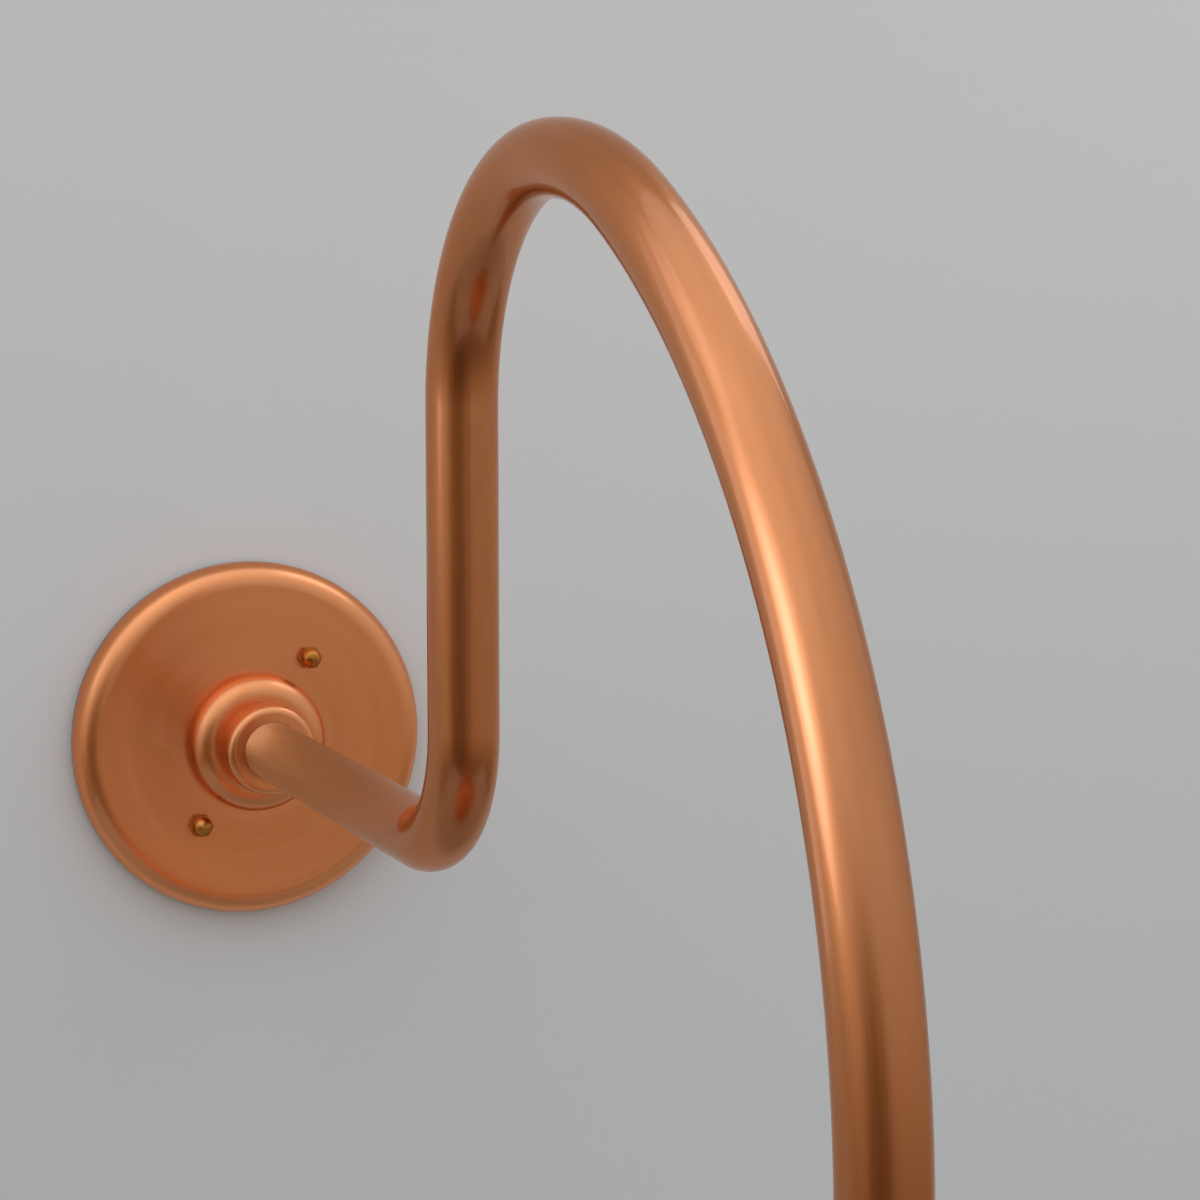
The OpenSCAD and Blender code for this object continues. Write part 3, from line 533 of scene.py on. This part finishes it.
# Dye over steel: a metallic green, as ground screws have.
GREEN_STEEL = TurnedMetal("machine_screw_dyed_green", "#3F8A55", 0.36, deeper="#2F7043")
# Cut foam cells: a coarse dull grain, so that the gasket reads as a dark line without gloss.
FOAM = Moulded("closed_cell_foam_die_cut", "#3A3A3A", 0.85, deeper="#2C2C2C", grain_mm=0.8,
               grain_depth_mm=0.12)
# Rubber from a sparked mould: nearly black, with wide faint highlights.
RUBBER = Moulded("moulded_rubber", "#262626", 0.62, deeper="#1B1B1B")
# Drawn insulation: even colour with a soft gloss along the wire.
BLACK_PVC = Moulded("extruded_pvc_black", "#1E1E1E", 0.38, deeper="#161616")
WHITE_PVC = Moulded("extruded_pvc_white", "#E4E4DE", 0.38, deeper="#D8D8D0")
GREEN_PVC = Moulded("extruded_pvc_green", "#2E7D46", 0.38, deeper="#27703D")
# Undyed nylon: the colour of cream, a little duller than the insulation.
NYLON = Moulded("moulded_nylon", "#E6E1D2", 0.42, deeper="#D9D2BF")
# Fired glaze: a wet gloss over a warm white that light sinks into.
PORCELAIN = GlazedPorcelain("glazed_porcelain", "#F0ECE2", 0.3)
# Thin clear glass: shows by its bright rims and bent reflections alone.
GLASS = BlownGlass("blown_clear_glass", "#FBFDFC", 0.0)
# Poured black glass: a deep black ring with hard glints.
BLACK_GLASS = Moulded("pressed_black_glass", "#141416", 0.12, deeper="#0D0D0F", grain_depth_mm=0.002)
# The coat of an unlit filament: a dull powdery yellow.
PHOSPHOR = Moulded("phosphor_in_silicone", "#E9BF3C", 0.5, deeper="#DDAE2C", grain_mm=0.6,
                   grain_depth_mm=0.05)


def new_piece(name: str, points: list[Vector], faces: list[tuple[int, ...]]) -> bpy.types.Object:
    """Makes a smooth-shaded mesh object in the scene.

    Args:
        name: the piece's name.
        points: the mesh's points in the frame, in metres.
        faces: the mesh's faces as point numbers.

    Returns:
        The new object.
    """
    mesh = bpy.data.meshes.new(name)
    mesh.from_pydata([tuple(p) for p in points], [], faces)
    mesh.shade_smooth()
    piece = bpy.data.objects.new(name, mesh)
    bpy.context.scene.collection.objects.link(piece)
    return piece


def arc(centre: Point, radius: float, start: float, end: float, steps: int) -> list[Point]:
    """Gives points along a round arc.

    Args:
        centre: the arc's centre.
        radius: its radius.
        start: the angle of its first point, in degrees.
        end: the angle of its last point, in degrees.
        steps: how many equal steps it has.

    Returns:
        The points, one more than the steps.
    """
    angles = (math.radians(start + (end - start) * i / steps) for i in range(steps + 1))
    return [(centre[0] + radius * math.cos(a), centre[1] + radius * math.sin(a)) for a in angles]


def ring_angles(sides: int) -> list[float]:
    """Gives the angles, in radians, of points set evenly round a ring."""
    return [2 * math.pi * j / sides for j in range(sides)]


def ring_edges(first: int, sides: int) -> list[tuple[int, int]]:
    """Gives the edges of a closed ring of points.

    Args:
        first: the number of the ring's first point.
        sides: how many points it has.

    Returns:
        The numbers of each edge's two points.
    """
    return [(first + j, first + (j + 1) % sides) for j in range(sides)]


@dataclass
class BentTube:
    """The arm: one length of copper tube, bent in the plane square to the wall."""

    UNBENT = "unbent"

    radius: float = 11.1 * MM
    wall: float = 1.2 * MM
    upright_out: float = 254 * MM
    elbow_r: float = 40 * MM
    upright_top: float = 140 * MM
    crown_r: float = 71 * MM
    shoulder_r: float = 122 * MM
    shoulder_sweep: float = 28
    sweep_r: float = 262 * MM
    sides: int = 128
    step_deg: float = 1.5

    def route(self) -> list[Point]:
        """Gives the centre line.

        Returns:
            Its points, as distances out from the wall and heights over the stub.
        """
        low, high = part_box("arm_tube")
        steep = 90 - self.shoulder_sweep
        crown = (self.upright_out + self.crown_r, self.upright_top)
        shoulder = (crown[0], crown[1] + self.crown_r - self.shoulder_r)
        back, way = self.shoulder_r - self.sweep_r, math.radians(steep)
        sweep = (shoulder[0] + back * math.cos(way), shoulder[1] + back * math.sin(way))
        bends = [((self.upright_out - self.elbow_r, self.elbow_r), self.elbow_r, -90, 0),
                 (crown, self.crown_r, 180, 90),
                 (shoulder, self.shoulder_r, 90, steep),
                 (sweep, self.sweep_r, steep, 0)]
        points = [(-high.y, 0.0)]
        for centre, radius, start, end in bends:
            steps = math.ceil(abs(end - start) / self.step_deg)
            stretch = arc(centre, radius, start, end, steps)
            points += stretch if math.dist(points[-1], stretch[0]) > MM else stretch[1:]
        return points + [(sweep[0] + self.sweep_r, low.z)]

    def stations(self) -> list[tuple[Point, Point, float]]:
        """Gives the places along the tube where it has a ring of points.

        Returns:
            Each ring's centre, the direction of the tube there and its length from the wall end.
        """
        points = self.route()
        found, length = [], 0.0
        for i, point in enumerate(points):
            before, after = points[max(i - 1, 0)], points[min(i + 1, len(points) - 1)]
            length += math.dist(point, before)
            span = math.dist(before, after)
            found.append((point, ((after[0] - before[0]) / span, (after[1] - before[1]) / span), length))
        return found

    def build(self) -> bpy.types.Object:
        """Sweeps the tube's outer and inner wall along the route, and keeps each point's unbent place.

        Returns:
            The tube.
        """
        points, faces, unbent = [], [], []
        stations = self.stations()
        for radius in (self.radius, self.radius - self.wall):
            for (out, height), (ahead, rise), length in stations:
                for turn in ring_angles(self.sides):
                    side, off = radius * math.cos(turn), radius * math.sin(turn)
                    points.append(Vector((side, -out + rise * off, height + ahead * off)))
                    unbent.append(Vector((side, off, length)))
        count = len(stations)
        for wall in (0, 1):
            for i in range(count - 1):
                for a, b in ring_edges((wall * count + i) * self.sides, self.sides):
                    quad = (a, b, b + self.sides, a + self.sides)
                    faces.append(quad if wall else quad[::-1])
        inner = count * self.sides
        for end in (0, inner - self.sides):
            for a, b in ring_edges(end, self.sides):
                quad = (a, b, inner + b, inner + a)
                faces.append(quad if end else quad[::-1])
        piece = new_piece("bent_copper_tube", points, faces)
        places = piece.data.attributes.new(self.UNBENT, "FLOAT_VECTOR", "POINT")
        places.data.foreach_set("vector", [c for v in unbent for c in v])
        self.unwrap(piece.data, unbent)
        return piece

    def unwrap(self, mesh: bpy.types.Mesh, unbent: list[Vector]) -> None:
        """Lays out the tube flat, with the way round it across and its length up.

        Args:
            mesh: the tube's mesh.
            unbent: each point's place on the straight tube.
        """
        layer = mesh.uv_layers.new(name="unrolled")
        for face in mesh.polygons:
            turns = [math.atan2(unbent[v].y, unbent[v].x) / (2 * math.pi) % 1 for v in face.vertices]
            wraps = max(turns) - min(turns) > HALF_TURN
            for loop, vertex, turn in zip(face.loop_indices, face.vertices, turns):
                layer.data[loop].uv = (turn + 1 if wraps and turn < HALF_TURN else turn, unbent[vertex].z)


@dataclass
class SpunShade:
    """The shade: a sheet of copper spun over a form, its rim rolled round for stiffness."""

    wall: float = 1.0 * MM
    neck_round: float = 8 * MM
    dome_r: float = 110 * MM
    dome_slope: float = 20
    skirt_slope: float = 38
    lip_round: float = 6 * MM
    rim_r: float = 2.5 * MM
    neck_r: float = 33.2 * MM
    neck_drop: float = 34 * MM
    sides: int = 192
    neck_steps: int = 6
    bend_steps: int = 12
    skirt_steps: int = 24
    lip_steps: int = 8
    roll_steps: int = 28
    roll_start: float = 10
    roll_end: float = -250

    def outline(self) -> list[Point]:
        """Gives the sheet's outer face from the neck's top to the rolled rim.

        Returns:
            Its points, as distances from the shade's axis and heights over the pivot.
        """
        low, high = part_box("shade")
        pivot = limb_axis()
        lip_r = high.x - self.rim_r + self.wall / 2
        top = high.z - pivot.z
        neck = (self.neck_r + self.neck_round, top - self.neck_drop)
        slope, steep = math.radians(self.dome_slope), math.radians(self.skirt_slope)
        reach = self.neck_round + self.dome_r
        dome = (neck[0] - reach * math.sin(slope), neck[1] - reach * math.cos(slope))
        foot = (dome[0] + self.dome_r * math.sin(steep), dome[1] + self.dome_r * math.cos(steep))
        run = (lip_r - self.lip_round * (1 - math.sin(steep)) - foot[0]) / math.cos(steep)
        lip = (lip_r - self.lip_round, foot[1] - run * math.sin(steep) - self.lip_round * math.cos(steep))
        neck_line = [(self.neck_r, top - self.neck_drop * i / self.neck_steps)
                     for i in range(self.neck_steps)]
        shoulder = arc(neck, self.neck_round, 180, 270 - self.dome_slope, self.bend_steps)
        crown = arc(dome, self.dome_r, 90 - self.dome_slope, 90 - self.skirt_slope, self.bend_steps)
        shares = [i / self.skirt_steps for i in range(1, self.skirt_steps)]
        skirt = [(foot[0] + run * math.cos(steep) * share, foot[1] - run * math.sin(steep) * share)
                 for share in shares]
        edge = arc(lip, self.lip_round, 90 - self.skirt_slope, 0, self.lip_steps)
        rim = (lip_r - self.wall / 2, low.z - pivot.z + self.rim_r)
        roll = arc(rim, self.rim_r, self.roll_start, self.roll_end, self.roll_steps)
        return neck_line + shoulder + crown + skirt + edge + roll

    def build(self) -> bpy.types.Object:
        """Turns the sheet about the shade's axis and gives it its thickness.

        Returns:
            The shade.
        """
        outline = self.outline()
        axis = limb_axis()
        points, faces = [], []
        for radius, height in outline:
            points += [axis + Vector((radius * math.cos(turn), radius * math.sin(turn), height))
                       for turn in ring_angles(self.sides)]
        for i in range(len(outline) - 1):
            faces += [(a, a + self.sides, b + self.sides, b)
                      for a, b in ring_edges(i * self.sides, self.sides)]
        piece = new_piece("spun_copper_shade", points, faces)
        sheet = piece.modifiers.new("sheet thickness", "SOLIDIFY")
        sheet.thickness = self.wall
        sheet.offset = -1
        return piece


@dataclass
class ThumbScrews:
    """The three brass screws that hold the shade, with knurled heads and slots."""

    # The faces of a box, as numbers of its corners, counted with x slowest and z fastest.
    BOX = ((0, 1, 3, 2), (4, 6, 7, 5), (0, 4, 5, 1), (2, 3, 7, 6), (0, 2, 6, 4), (1, 5, 7, 3))

    shank_r: float = 1.75 * MM
    shank_len: float = 3.3 * MM
    head_r: float = 4 * MM
    head_h: float = 4.5 * MM
    edge: float = 0.5 * MM
    knurls: int = 30
    knurl_depth: float = 0.28 * MM
    knurl_shape: tuple[float, ...] = (0, 0.5, 1, 0.5)
    slot_w: float = 0.8 * MM
    slot_depth: float = 1.2 * MM
    crisp_deg: float = 40
    angles: tuple[int, ...] = (30, 150, 270)

    def build(self) -> bpy.types.Object:
        """Makes the three screws as one piece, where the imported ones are.

        Returns:
            The screws.
        """
        low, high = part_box("shade_screws")
        axis = limb_axis()
        centre = Vector((axis.x, axis.y, (low.z + high.z) / 2))
        outer = axis.y - low.y
        points, faces = [], []
        for angle in self.angles:
            self.add_screw(points, faces, centre, math.radians(angle), outer)
        screws = new_piece("knurled_shade_screws", points, faces)
        self.cut_slots(screws, centre, outer)
        screws.data.set_sharp_from_angle(angle=math.radians(self.crisp_deg))
        return screws

    def cut_slots(self, screws: bpy.types.Object, centre: Vector, outer: float) -> None:
        """Cuts a level slot across the end of each head.

        Args:
            screws: the screws, whose mesh is replaced.
            centre: the point on the shade's axis at the screws' height.
            outer: how far the heads reach from the shade's axis.
        """
        points, faces = [], []
        for angle in self.angles:
            place = Matrix.Translation(centre) @ Matrix.Rotation(math.radians(angle), 4, "Z")
            faces += [tuple(len(points) + corner for corner in quad) for quad in self.BOX]
            points += [place @ Vector((outer + x * self.slot_depth, y * self.head_r * 2, z * self.slot_w / 2))
                       for x in (-1, 1) for y in (-1, 1) for z in (-1, 1)]
        cutter = new_piece("slot_cutter", points, faces)
        cut = screws.modifiers.new("slots", "BOOLEAN")
        cut.operation, cut.solver, cut.object = "DIFFERENCE", "EXACT", cutter
        finished = screws.evaluated_get(bpy.context.evaluated_depsgraph_get())
        screws.data = bpy.data.meshes.new_from_object(finished)
        screws.modifiers.clear()
        bpy.data.objects.remove(cutter)

    def add_screw(self, points: list[Vector], faces: list[tuple[int, ...]], centre: Vector, angle: float,
                  outer: float) -> None:
        """Adds one screw to the mesh.

        Args:
            points: the mesh's points, added to.
            faces: the mesh's faces, added to.
            centre: the point on the shade's axis at the screw's height.
            angle: the way that the screw points.
            outer: how far its head reaches from the shade's axis.
        """
        sides = self.knurls * len(self.knurl_shape)
        reach = outer - self.head_h
        rings = [(reach - self.shank_len, self.shank_r, 0), (reach, self.shank_r, 0),
                 (reach, self.head_r - self.edge, 0), (reach + self.edge, self.head_r, 1),
                 (outer - self.edge, self.head_r, 1), (outer, self.head_r - self.edge, 0)]
        first = len(points)
        ahead = Vector((math.cos(angle), math.sin(angle), 0))
        across = Vector((-math.sin(angle), math.cos(angle), 0))
        for out, radius, knurled in rings:
            for j, turn in enumerate(ring_angles(sides)):
                depth = self.knurl_depth * knurled * self.knurl_shape[j % len(self.knurl_shape)]
                side = across * math.cos(turn) + Vector((0, 0, math.sin(turn)))
                points.append(centre + ahead * out + side * (radius - depth))
        for i in range(len(rings) - 1):
            faces += [(a, b, b + sides, a + sides) for a, b in ring_edges(first + i * sides, sides)]
        faces.append(tuple(range(first + sides - 1, first - 1, -1)))
        faces.append(tuple(range(len(points) - sides, len(points))))


@dataclass
class WallSide:
    """The plate, the hub, the arm and everything behind the plate."""

    finishes: dict[str, Finish] = field(default_factory=lambda: {
        "wall_gasket": FOAM, "mounting_bracket": STEEL, "plate_studs": BRASS, "stud_locknuts": STEEL,
        "ground_screw": GREEN_STEEL, "ground_lead": GREEN_PVC, "wire_connectors": NYLON,
        "wall_plate": WALL_COPPER_PAINTED_LIGHTER, "cap_nuts": WARM_BRASS, "arm_plug": BRASS, "plug_lock_washer": STEEL,
        "plug_locknut": BRASS, "hub_boss": WALL_COPPER_PAINTED_LIGHTER, "hub_collar": WALL_COPPER_PAINTED_LIGHTER, "collar_set_screw": STEEL,
        "live_wire": BLACK_PVC, "neutral_wire": WHITE_PVC, "arm_coupling": SHADE_COPPER,
        "coupling_set_screw": STEEL, "swivel_fork": SHADE_COPPER, "friction_washers": STEEL})

    def build(self) -> None:
        """Makes the tube and dresses the rest."""
        tube = BentTube().build()
        tube.data.materials.append(TUBE_COPPER.material())
        settle(tube, Body.WALL_ARM, "arm_tube")
        dress_nodes(self.finishes)


@dataclass
class ShadeHead:
    """The lower half of the swivel, the shade with its holder, the socket and the bulb."""

    finishes: dict[str, Finish] = field(default_factory=lambda: {
        "swivel_tongue": SHADE_COPPER, "pivot_screws": BRASS, "shade_holder": SHADE_COPPER,
        "holder_seal": RUBBER, "socket_bracket": STEEL, "stem_lock_washer": STEEL, "stem_locknut": BRASS,
        "porcelain_socket": PORCELAIN, "bracket_screws": STEEL, "terminal_screws": BRASS,
        "spring_contact": BRASS, "screw_shell": BRASS, "live_lead": BLACK_PVC, "neutral_lead": WHITE_PVC,
        "bulb_contact": NICKEL, "bulb_insulator": BLACK_GLASS, "bulb_cap": NICKEL, "bulb_glass": GLASS,
        "bulb_stem": GLASS, "filament_supports": NICKEL, "light_filaments": PHOSPHOR})

    def build(self) -> None:
        """Makes the shade and its screws and dresses the rest."""
        shade = SpunShade().build()
        shade.data.materials.append(SHADE_COPPER.material())
        settle(shade, Body.SHADE_HEAD, "shade")
        screws = ThumbScrews().build()
        screws.data.materials.append(BRASS.material())
        settle(screws, Body.SHADE_HEAD, "shade_screws")
        dress_nodes(self.finishes)


def settle(piece: bpy.types.Object, body: Body, node: str) -> None:
    """Puts a made piece in the place of a packed one.

    Args:
        piece: the new piece.
        body: the body that it rides on.
        node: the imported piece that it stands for.
    """
    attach(piece, body.value)
    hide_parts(node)
    LOG.info("made %s for %s", piece.name, node)


def dress_nodes(finishes: dict[str, Finish]) -> None:
    """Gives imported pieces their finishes.

    Args:
        finishes: the finish of each piece, by its node's name.
    """
    for name, finish in finishes.items():
        node = frame["nodes"][name]
        node.data.materials.clear()
        node.data.materials.append(finish.material())
        LOG.info("dressed %s in %s", name, finish.name)


@dataclass(frozen=True)
class Softbox:
    """A lamp behind a rectangle of white cloth, bluish like daylight from a window."""

    name: str
    place: Vector
    aim: Vector
    width: float
    height: float
    brightness: float
    spread_deg: float = 180
    tint: tuple[float, float, float] = (0.92, 1.07, 1.36)

    def build(self) -> None:
        """Adds the lamp, which the camera doesn't see.

        Its power makes the cloth as bright as it would be with the full spread.
        """
        light = bpy.data.lights.new(self.name, "AREA")
        light.shape = "RECTANGLE"
        light.size = self.width
        light.size_y = self.height
        half = math.radians(self.spread_deg) / 2
        light.spread = 2 * half
        gathered = 1 if self.spread_deg >= 180 else 1 - half / math.tan(half)
        light.energy = 4 * self.width * self.height * self.brightness * gathered
        light.color = self.tint
        lamp = bpy.data.objects.new(self.name, light)
        lamp.rotation_euler = (self.aim - self.place).to_track_quat("-Z", "Y").to_euler()
        lamp.location = self.place
        lamp.visible_camera = False
        bpy.context.scene.collection.objects.link(lamp)


# A point on the arm's long sweep; three of the boxes at the left are aimed a little over it.
SWEEP = Vector((0, -0.52, 0.08))
LAMPS = (
    Softbox("left_panel_by_wall", Vector((-0.68, -0.06, 0.24)), Vector((-0.68, -1.06, 0.24)),
            width=0.60, height=0.68, brightness=1.4, spread_deg=126),
    Softbox("left_high_box", Vector((-0.62, -0.16, 0.78)), SWEEP + Vector((0, 0, 0.12)),
            width=0.46, height=0.46, brightness=1.0, spread_deg=50),
    Softbox("left_rear_box", Vector((-0.72, -0.40, 0.28)), SWEEP + Vector((0, 0, 0.03)),
            width=0.54, height=0.46, brightness=3.4, spread_deg=40),
    Softbox("left_front_box", Vector((-1.03, -0.56, 0.56)), SWEEP + Vector((0, 0, 0.04)),
            width=0.80, height=0.62, brightness=1.1, spread_deg=42),
    Softbox("right_box", Vector((0.52, -0.12, 0.66)), Vector((0, -0.45, 0.15)),
            width=0.28, height=0.42, brightness=1.0),
)


@dataclass
class Studio:
    """A grey wall with a wiring hole, a pale floor, soft lamps and an even sky.

    The sky's shades are pairs of a height, from -1 straight down to 1 straight up, and a brightness. It is
    warm below and cool above, with a dimmer patch towards dim_way and a brighter one towards window_way.
    """

    lamps: tuple[Softbox, ...] = LAMPS
    # The wall's paint darkens smoothly towards the bottom between the two heights below. This is painted
    # shade, standing in for the light being brighter high on the wall.
    wall_colour: str = "#FBF6F1"
    wall_painted_shade_colour: str = "#E2DEDA"
    painted_shade_low_z: float = -0.3
    painted_shade_high_z: float = 0.35
    floor_colour: str = "#BAB8B5"
    paint_roughness: float = 0.6
    wall_gap: float = 0.2 * MM
    wall_half_width: float = 2.6
    wall_top: float = 1.15
    hole_edge: float = 0.5 * MM
    hole_sides: int = 64
    floor_z: float = -0.72
    floor_out: float = 1.2
    floor_half_width: float = 1.2
    sky: tuple[tuple[float, float], ...] = (
        (-1.0, 0.20), (-0.7, 0.14), (-0.5, 0.18), (-0.26, 0.37), (0.0, 0.55),
        (0.26, 0.64), (0.5, 0.76), (0.7, 0.91), (0.87, 1.07), (1.0, 1.15))
    low_tint: tuple[float, float, float] = (1.0, 0.88, 0.70)
    high_tint: tuple[float, float, float] = (0.95, 1.07, 1.19)
    warm_below: float = -0.25
    cool_above: float = 0.25
    window_way: Vector = field(default_factory=lambda: Vector((-0.77, -0.28, 0.57)))
    window_from: float = 0.55
    window_gain: float = 0.3
    dim_way: Vector = field(default_factory=lambda: Vector((-0.55, -0.80, -0.19)))
    dim_from: float = 0.80
    dim_full: float = 0.97
    dim_colour: str = "#A08C78"

    def surface(self, name: str, colour: str, painted_shade_colour: str) -> bpy.types.Material:
        """Makes matt paint that is clear from behind, so that the light can be seen from all sides.

        Args:
            name: the material's name.
            colour: the paint's colour, in sRGB hex.
            painted_shade_colour: its colour at the bottom. The paint darkens towards it as painted shade,
                standing in for the light being brighter high on the wall.

        Returns:
            The material.
        """
        material, tree = new_tree(name)
        # Painted shade: the paint darkens smoothly towards the bottom, standing in for the light being
        # brighter high on the wall.
        place = add_node(tree, "ShaderNodeTexCoord").outputs["Object"]
        height = add_node(tree, "ShaderNodeSeparateXYZ", {0: place}).outputs["Z"]
        inputs = {"Value": height, "From Min": self.painted_shade_low_z, "From Max": self.painted_shade_high_z}
        share = add_node(tree, "ShaderNodeMapRange", inputs, interpolation_type="SMOOTHSTEP")
        tone = mixed_colour(tree, share.outputs["Result"], linear(painted_shade_colour), linear(colour))
        paint = add_node(tree, "ShaderNodeBsdfDiffuse", {"Color": tone, "Roughness": self.paint_roughness})
        clear = add_node(tree, "ShaderNodeBsdfTransparent")
        side = add_node(tree, "ShaderNodeNewGeometry").outputs["Backfacing"]
        mixed = add_node(tree, "ShaderNodeMixShader", {0: side, 1: paint.outputs[0], 2: clear.outputs[0]})
        add_node(tree, "ShaderNodeOutputMaterial", {"Surface": mixed.outputs[0]})
        return material

    def wall(self) -> bpy.types.Object:
        """Makes the wall as a ring of faces from the wiring hole out to its edges.

        Returns:
            The wall.
        """
        across, gap, sides = self.wall_half_width, self.wall_gap, self.hole_sides
        hole_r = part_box("wall_gasket")[1].x - self.hole_edge
        angles, tiny = ring_angles(sides), sys.float_info.min
        points = [Vector((hole_r * math.cos(turn), gap, hole_r * math.sin(turn))) for turn in angles]
        for turn in angles:
            ahead, rise = math.cos(turn), math.sin(turn)
            level = self.wall_top if rise > 0 else -self.floor_z
            reach = min(across / max(abs(ahead), tiny), level / max(abs(rise), tiny))
            points.append(Vector((reach * ahead, gap, reach * rise)))
        faces = [(j, sides + j, sides + k, k) for j, k in ring_edges(0, sides)]
        for x, z in ((across, self.wall_top), (-across, self.wall_top), (-across, self.floor_z),
                     (across, self.floor_z)):
            points.append(Vector((x, gap, z)))
            j = int(math.atan2(z, x) % (2 * math.pi) / (2 * math.pi) * sides)
            faces.append((sides + j, len(points) - 1, sides + (j + 1) % sides))
        return new_piece("wall", points, faces)

    def floor(self) -> bpy.types.Object:
        """Makes the floor in front of the wall.

        Returns:
            The floor.
        """
        x, y, z = self.floor_half_width, self.floor_out, self.floor_z
        points = [Vector((-x, self.wall_gap, z)), Vector((-x, -y, z)),
                  Vector((x, -y, z)), Vector((x, self.wall_gap, z))]
        return new_piece("floor", points, [(0, 1, 2, 3)])

    def world(self) -> None:
        """Makes an even sky, dim near the ground and brighter overhead like a white ceiling."""
        world = bpy.data.worlds.new("soft sky")
        bpy.context.scene.world = world
        world.use_nodes = True
        tree = world.node_tree
        tree.nodes.clear()
        direction = add_node(tree, "ShaderNodeTexCoord").outputs["Generated"]
        height = add_node(tree, "ShaderNodeSeparateXYZ", {0: direction}).outputs["Z"]
        share = add_node(tree, "ShaderNodeMapRange", {"Value": height, "From Min": -1.0, "From Max": 1.0})
        ramp = add_node(tree, "ShaderNodeValToRGB", {"Fac": share.outputs["Result"]})
        stops = ramp.color_ramp.elements
        while len(stops) < len(self.sky):
            stops.new(1.0)
        for stop, (level, grey) in zip(stops, self.sky):
            stop.position = (level + 1) / 2
            high_share = min(max((level - self.warm_below) / (self.cool_above - self.warm_below), 0.0), 1.0)
            tint = (low + (high - low) * high_share for low, high in zip(self.low_tint, self.high_tint))
            stop.color = (*(grey * part for part in tint), 1.0)
        inputs = {"From Min": self.dim_from, "From Max": self.dim_full}
        near = self.towards(tree, direction, self.dim_way, inputs)
        dimmed = mixed_colour(tree, near, ramp.outputs["Color"], linear(self.dim_colour), "MULTIPLY")
        inputs = {"From Min": self.window_from, "To Min": 1.0, "To Max": 1 + self.window_gain}
        strength = self.towards(tree, direction, self.window_way, inputs)
        glow = add_node(tree, "ShaderNodeBackground", {"Color": dimmed, "Strength": strength})
        add_node(tree, "ShaderNodeOutputWorld", {"Surface": glow.outputs[0]})

    def towards(self, tree: bpy.types.NodeTree, direction: bpy.types.NodeSocket, way: Vector,
                inputs: dict) -> bpy.types.NodeSocket:
        """Gives a value that changes smoothly towards one way in the sky.

        Args:
            tree: the sky's tree.
            direction: the direction that is looked at.
            way: the way where the value changes most.
            inputs: the range of nearness, from 0 to 1, and of the value.

        Returns:
            The value as an output.
        """
        nearness = add_node(tree, "ShaderNodeVectorMath", {0: direction, 1: way}, operation="DOT_PRODUCT")
        inputs = {"Value": nearness.outputs["Value"]} | inputs
        return add_node(tree, "ShaderNodeMapRange", inputs, interpolation_type="SMOOTHSTEP").outputs["Result"]

    def build(self) -> None:
        """Makes the wall, the floor, the lamps and the sky."""
        wall, floor = self.wall(), self.floor()
        wall.data.materials.append(self.surface("matt_wall_paint_darkened_as_painted_shade", self.wall_colour, self.wall_painted_shade_colour))
        floor.data.materials.append(self.surface("matt_floor_paint", self.floor_colour, self.floor_colour))
        for lamp in self.lamps:
            lamp.build()
        self.world()


@dataclass
class Camera:
    """The camera at the photograph's viewing angle, solved from the outline of the arm and the plate."""

    place: Vector = field(default_factory=lambda: Vector((-0.27457, -1.01101, 0.17211)))
    turn: float = 0.4001
    tilt: float = -0.1131
    lens_mm: float = 79.29
    sensor_mm: float = 36.0
    nearest: float = 0.01

    def build(self) -> None:
        """Adds the camera and makes it the scene's."""
        data = bpy.data.cameras.new("camera")
        data.lens = self.lens_mm
        data.sensor_width = self.sensor_mm
        data.sensor_fit = "HORIZONTAL"
        data.clip_start = self.nearest
        camera = bpy.data.objects.new("camera", data)
        camera.matrix_world = (Matrix.Translation(self.place) @ Matrix.Rotation(-self.turn, 4, "Z")
                               @ Matrix.Rotation(math.pi / 2 + self.tilt, 4, "X"))
        bpy.context.scene.collection.objects.link(camera)
        bpy.context.scene.camera = camera


def main() -> None:
    """Builds the light and its studio in order, and logs any piece left bare."""
    logging.basicConfig(level=logging.INFO, format="%(name)s: %(message)s")
    Camera().build()
    WallSide().build()
    ShadeHead().build()
    Studio().build()
    bpy.context.scene.view_settings.view_transform = "Standard"
    shown = {name: node for name, node in frame["nodes"].items() if not node.hide_render}
    LOG.info("pieces left bare: %s", [name for name, node in shown.items() if not node.data.materials])


if __name__ == "__main__":
    main()
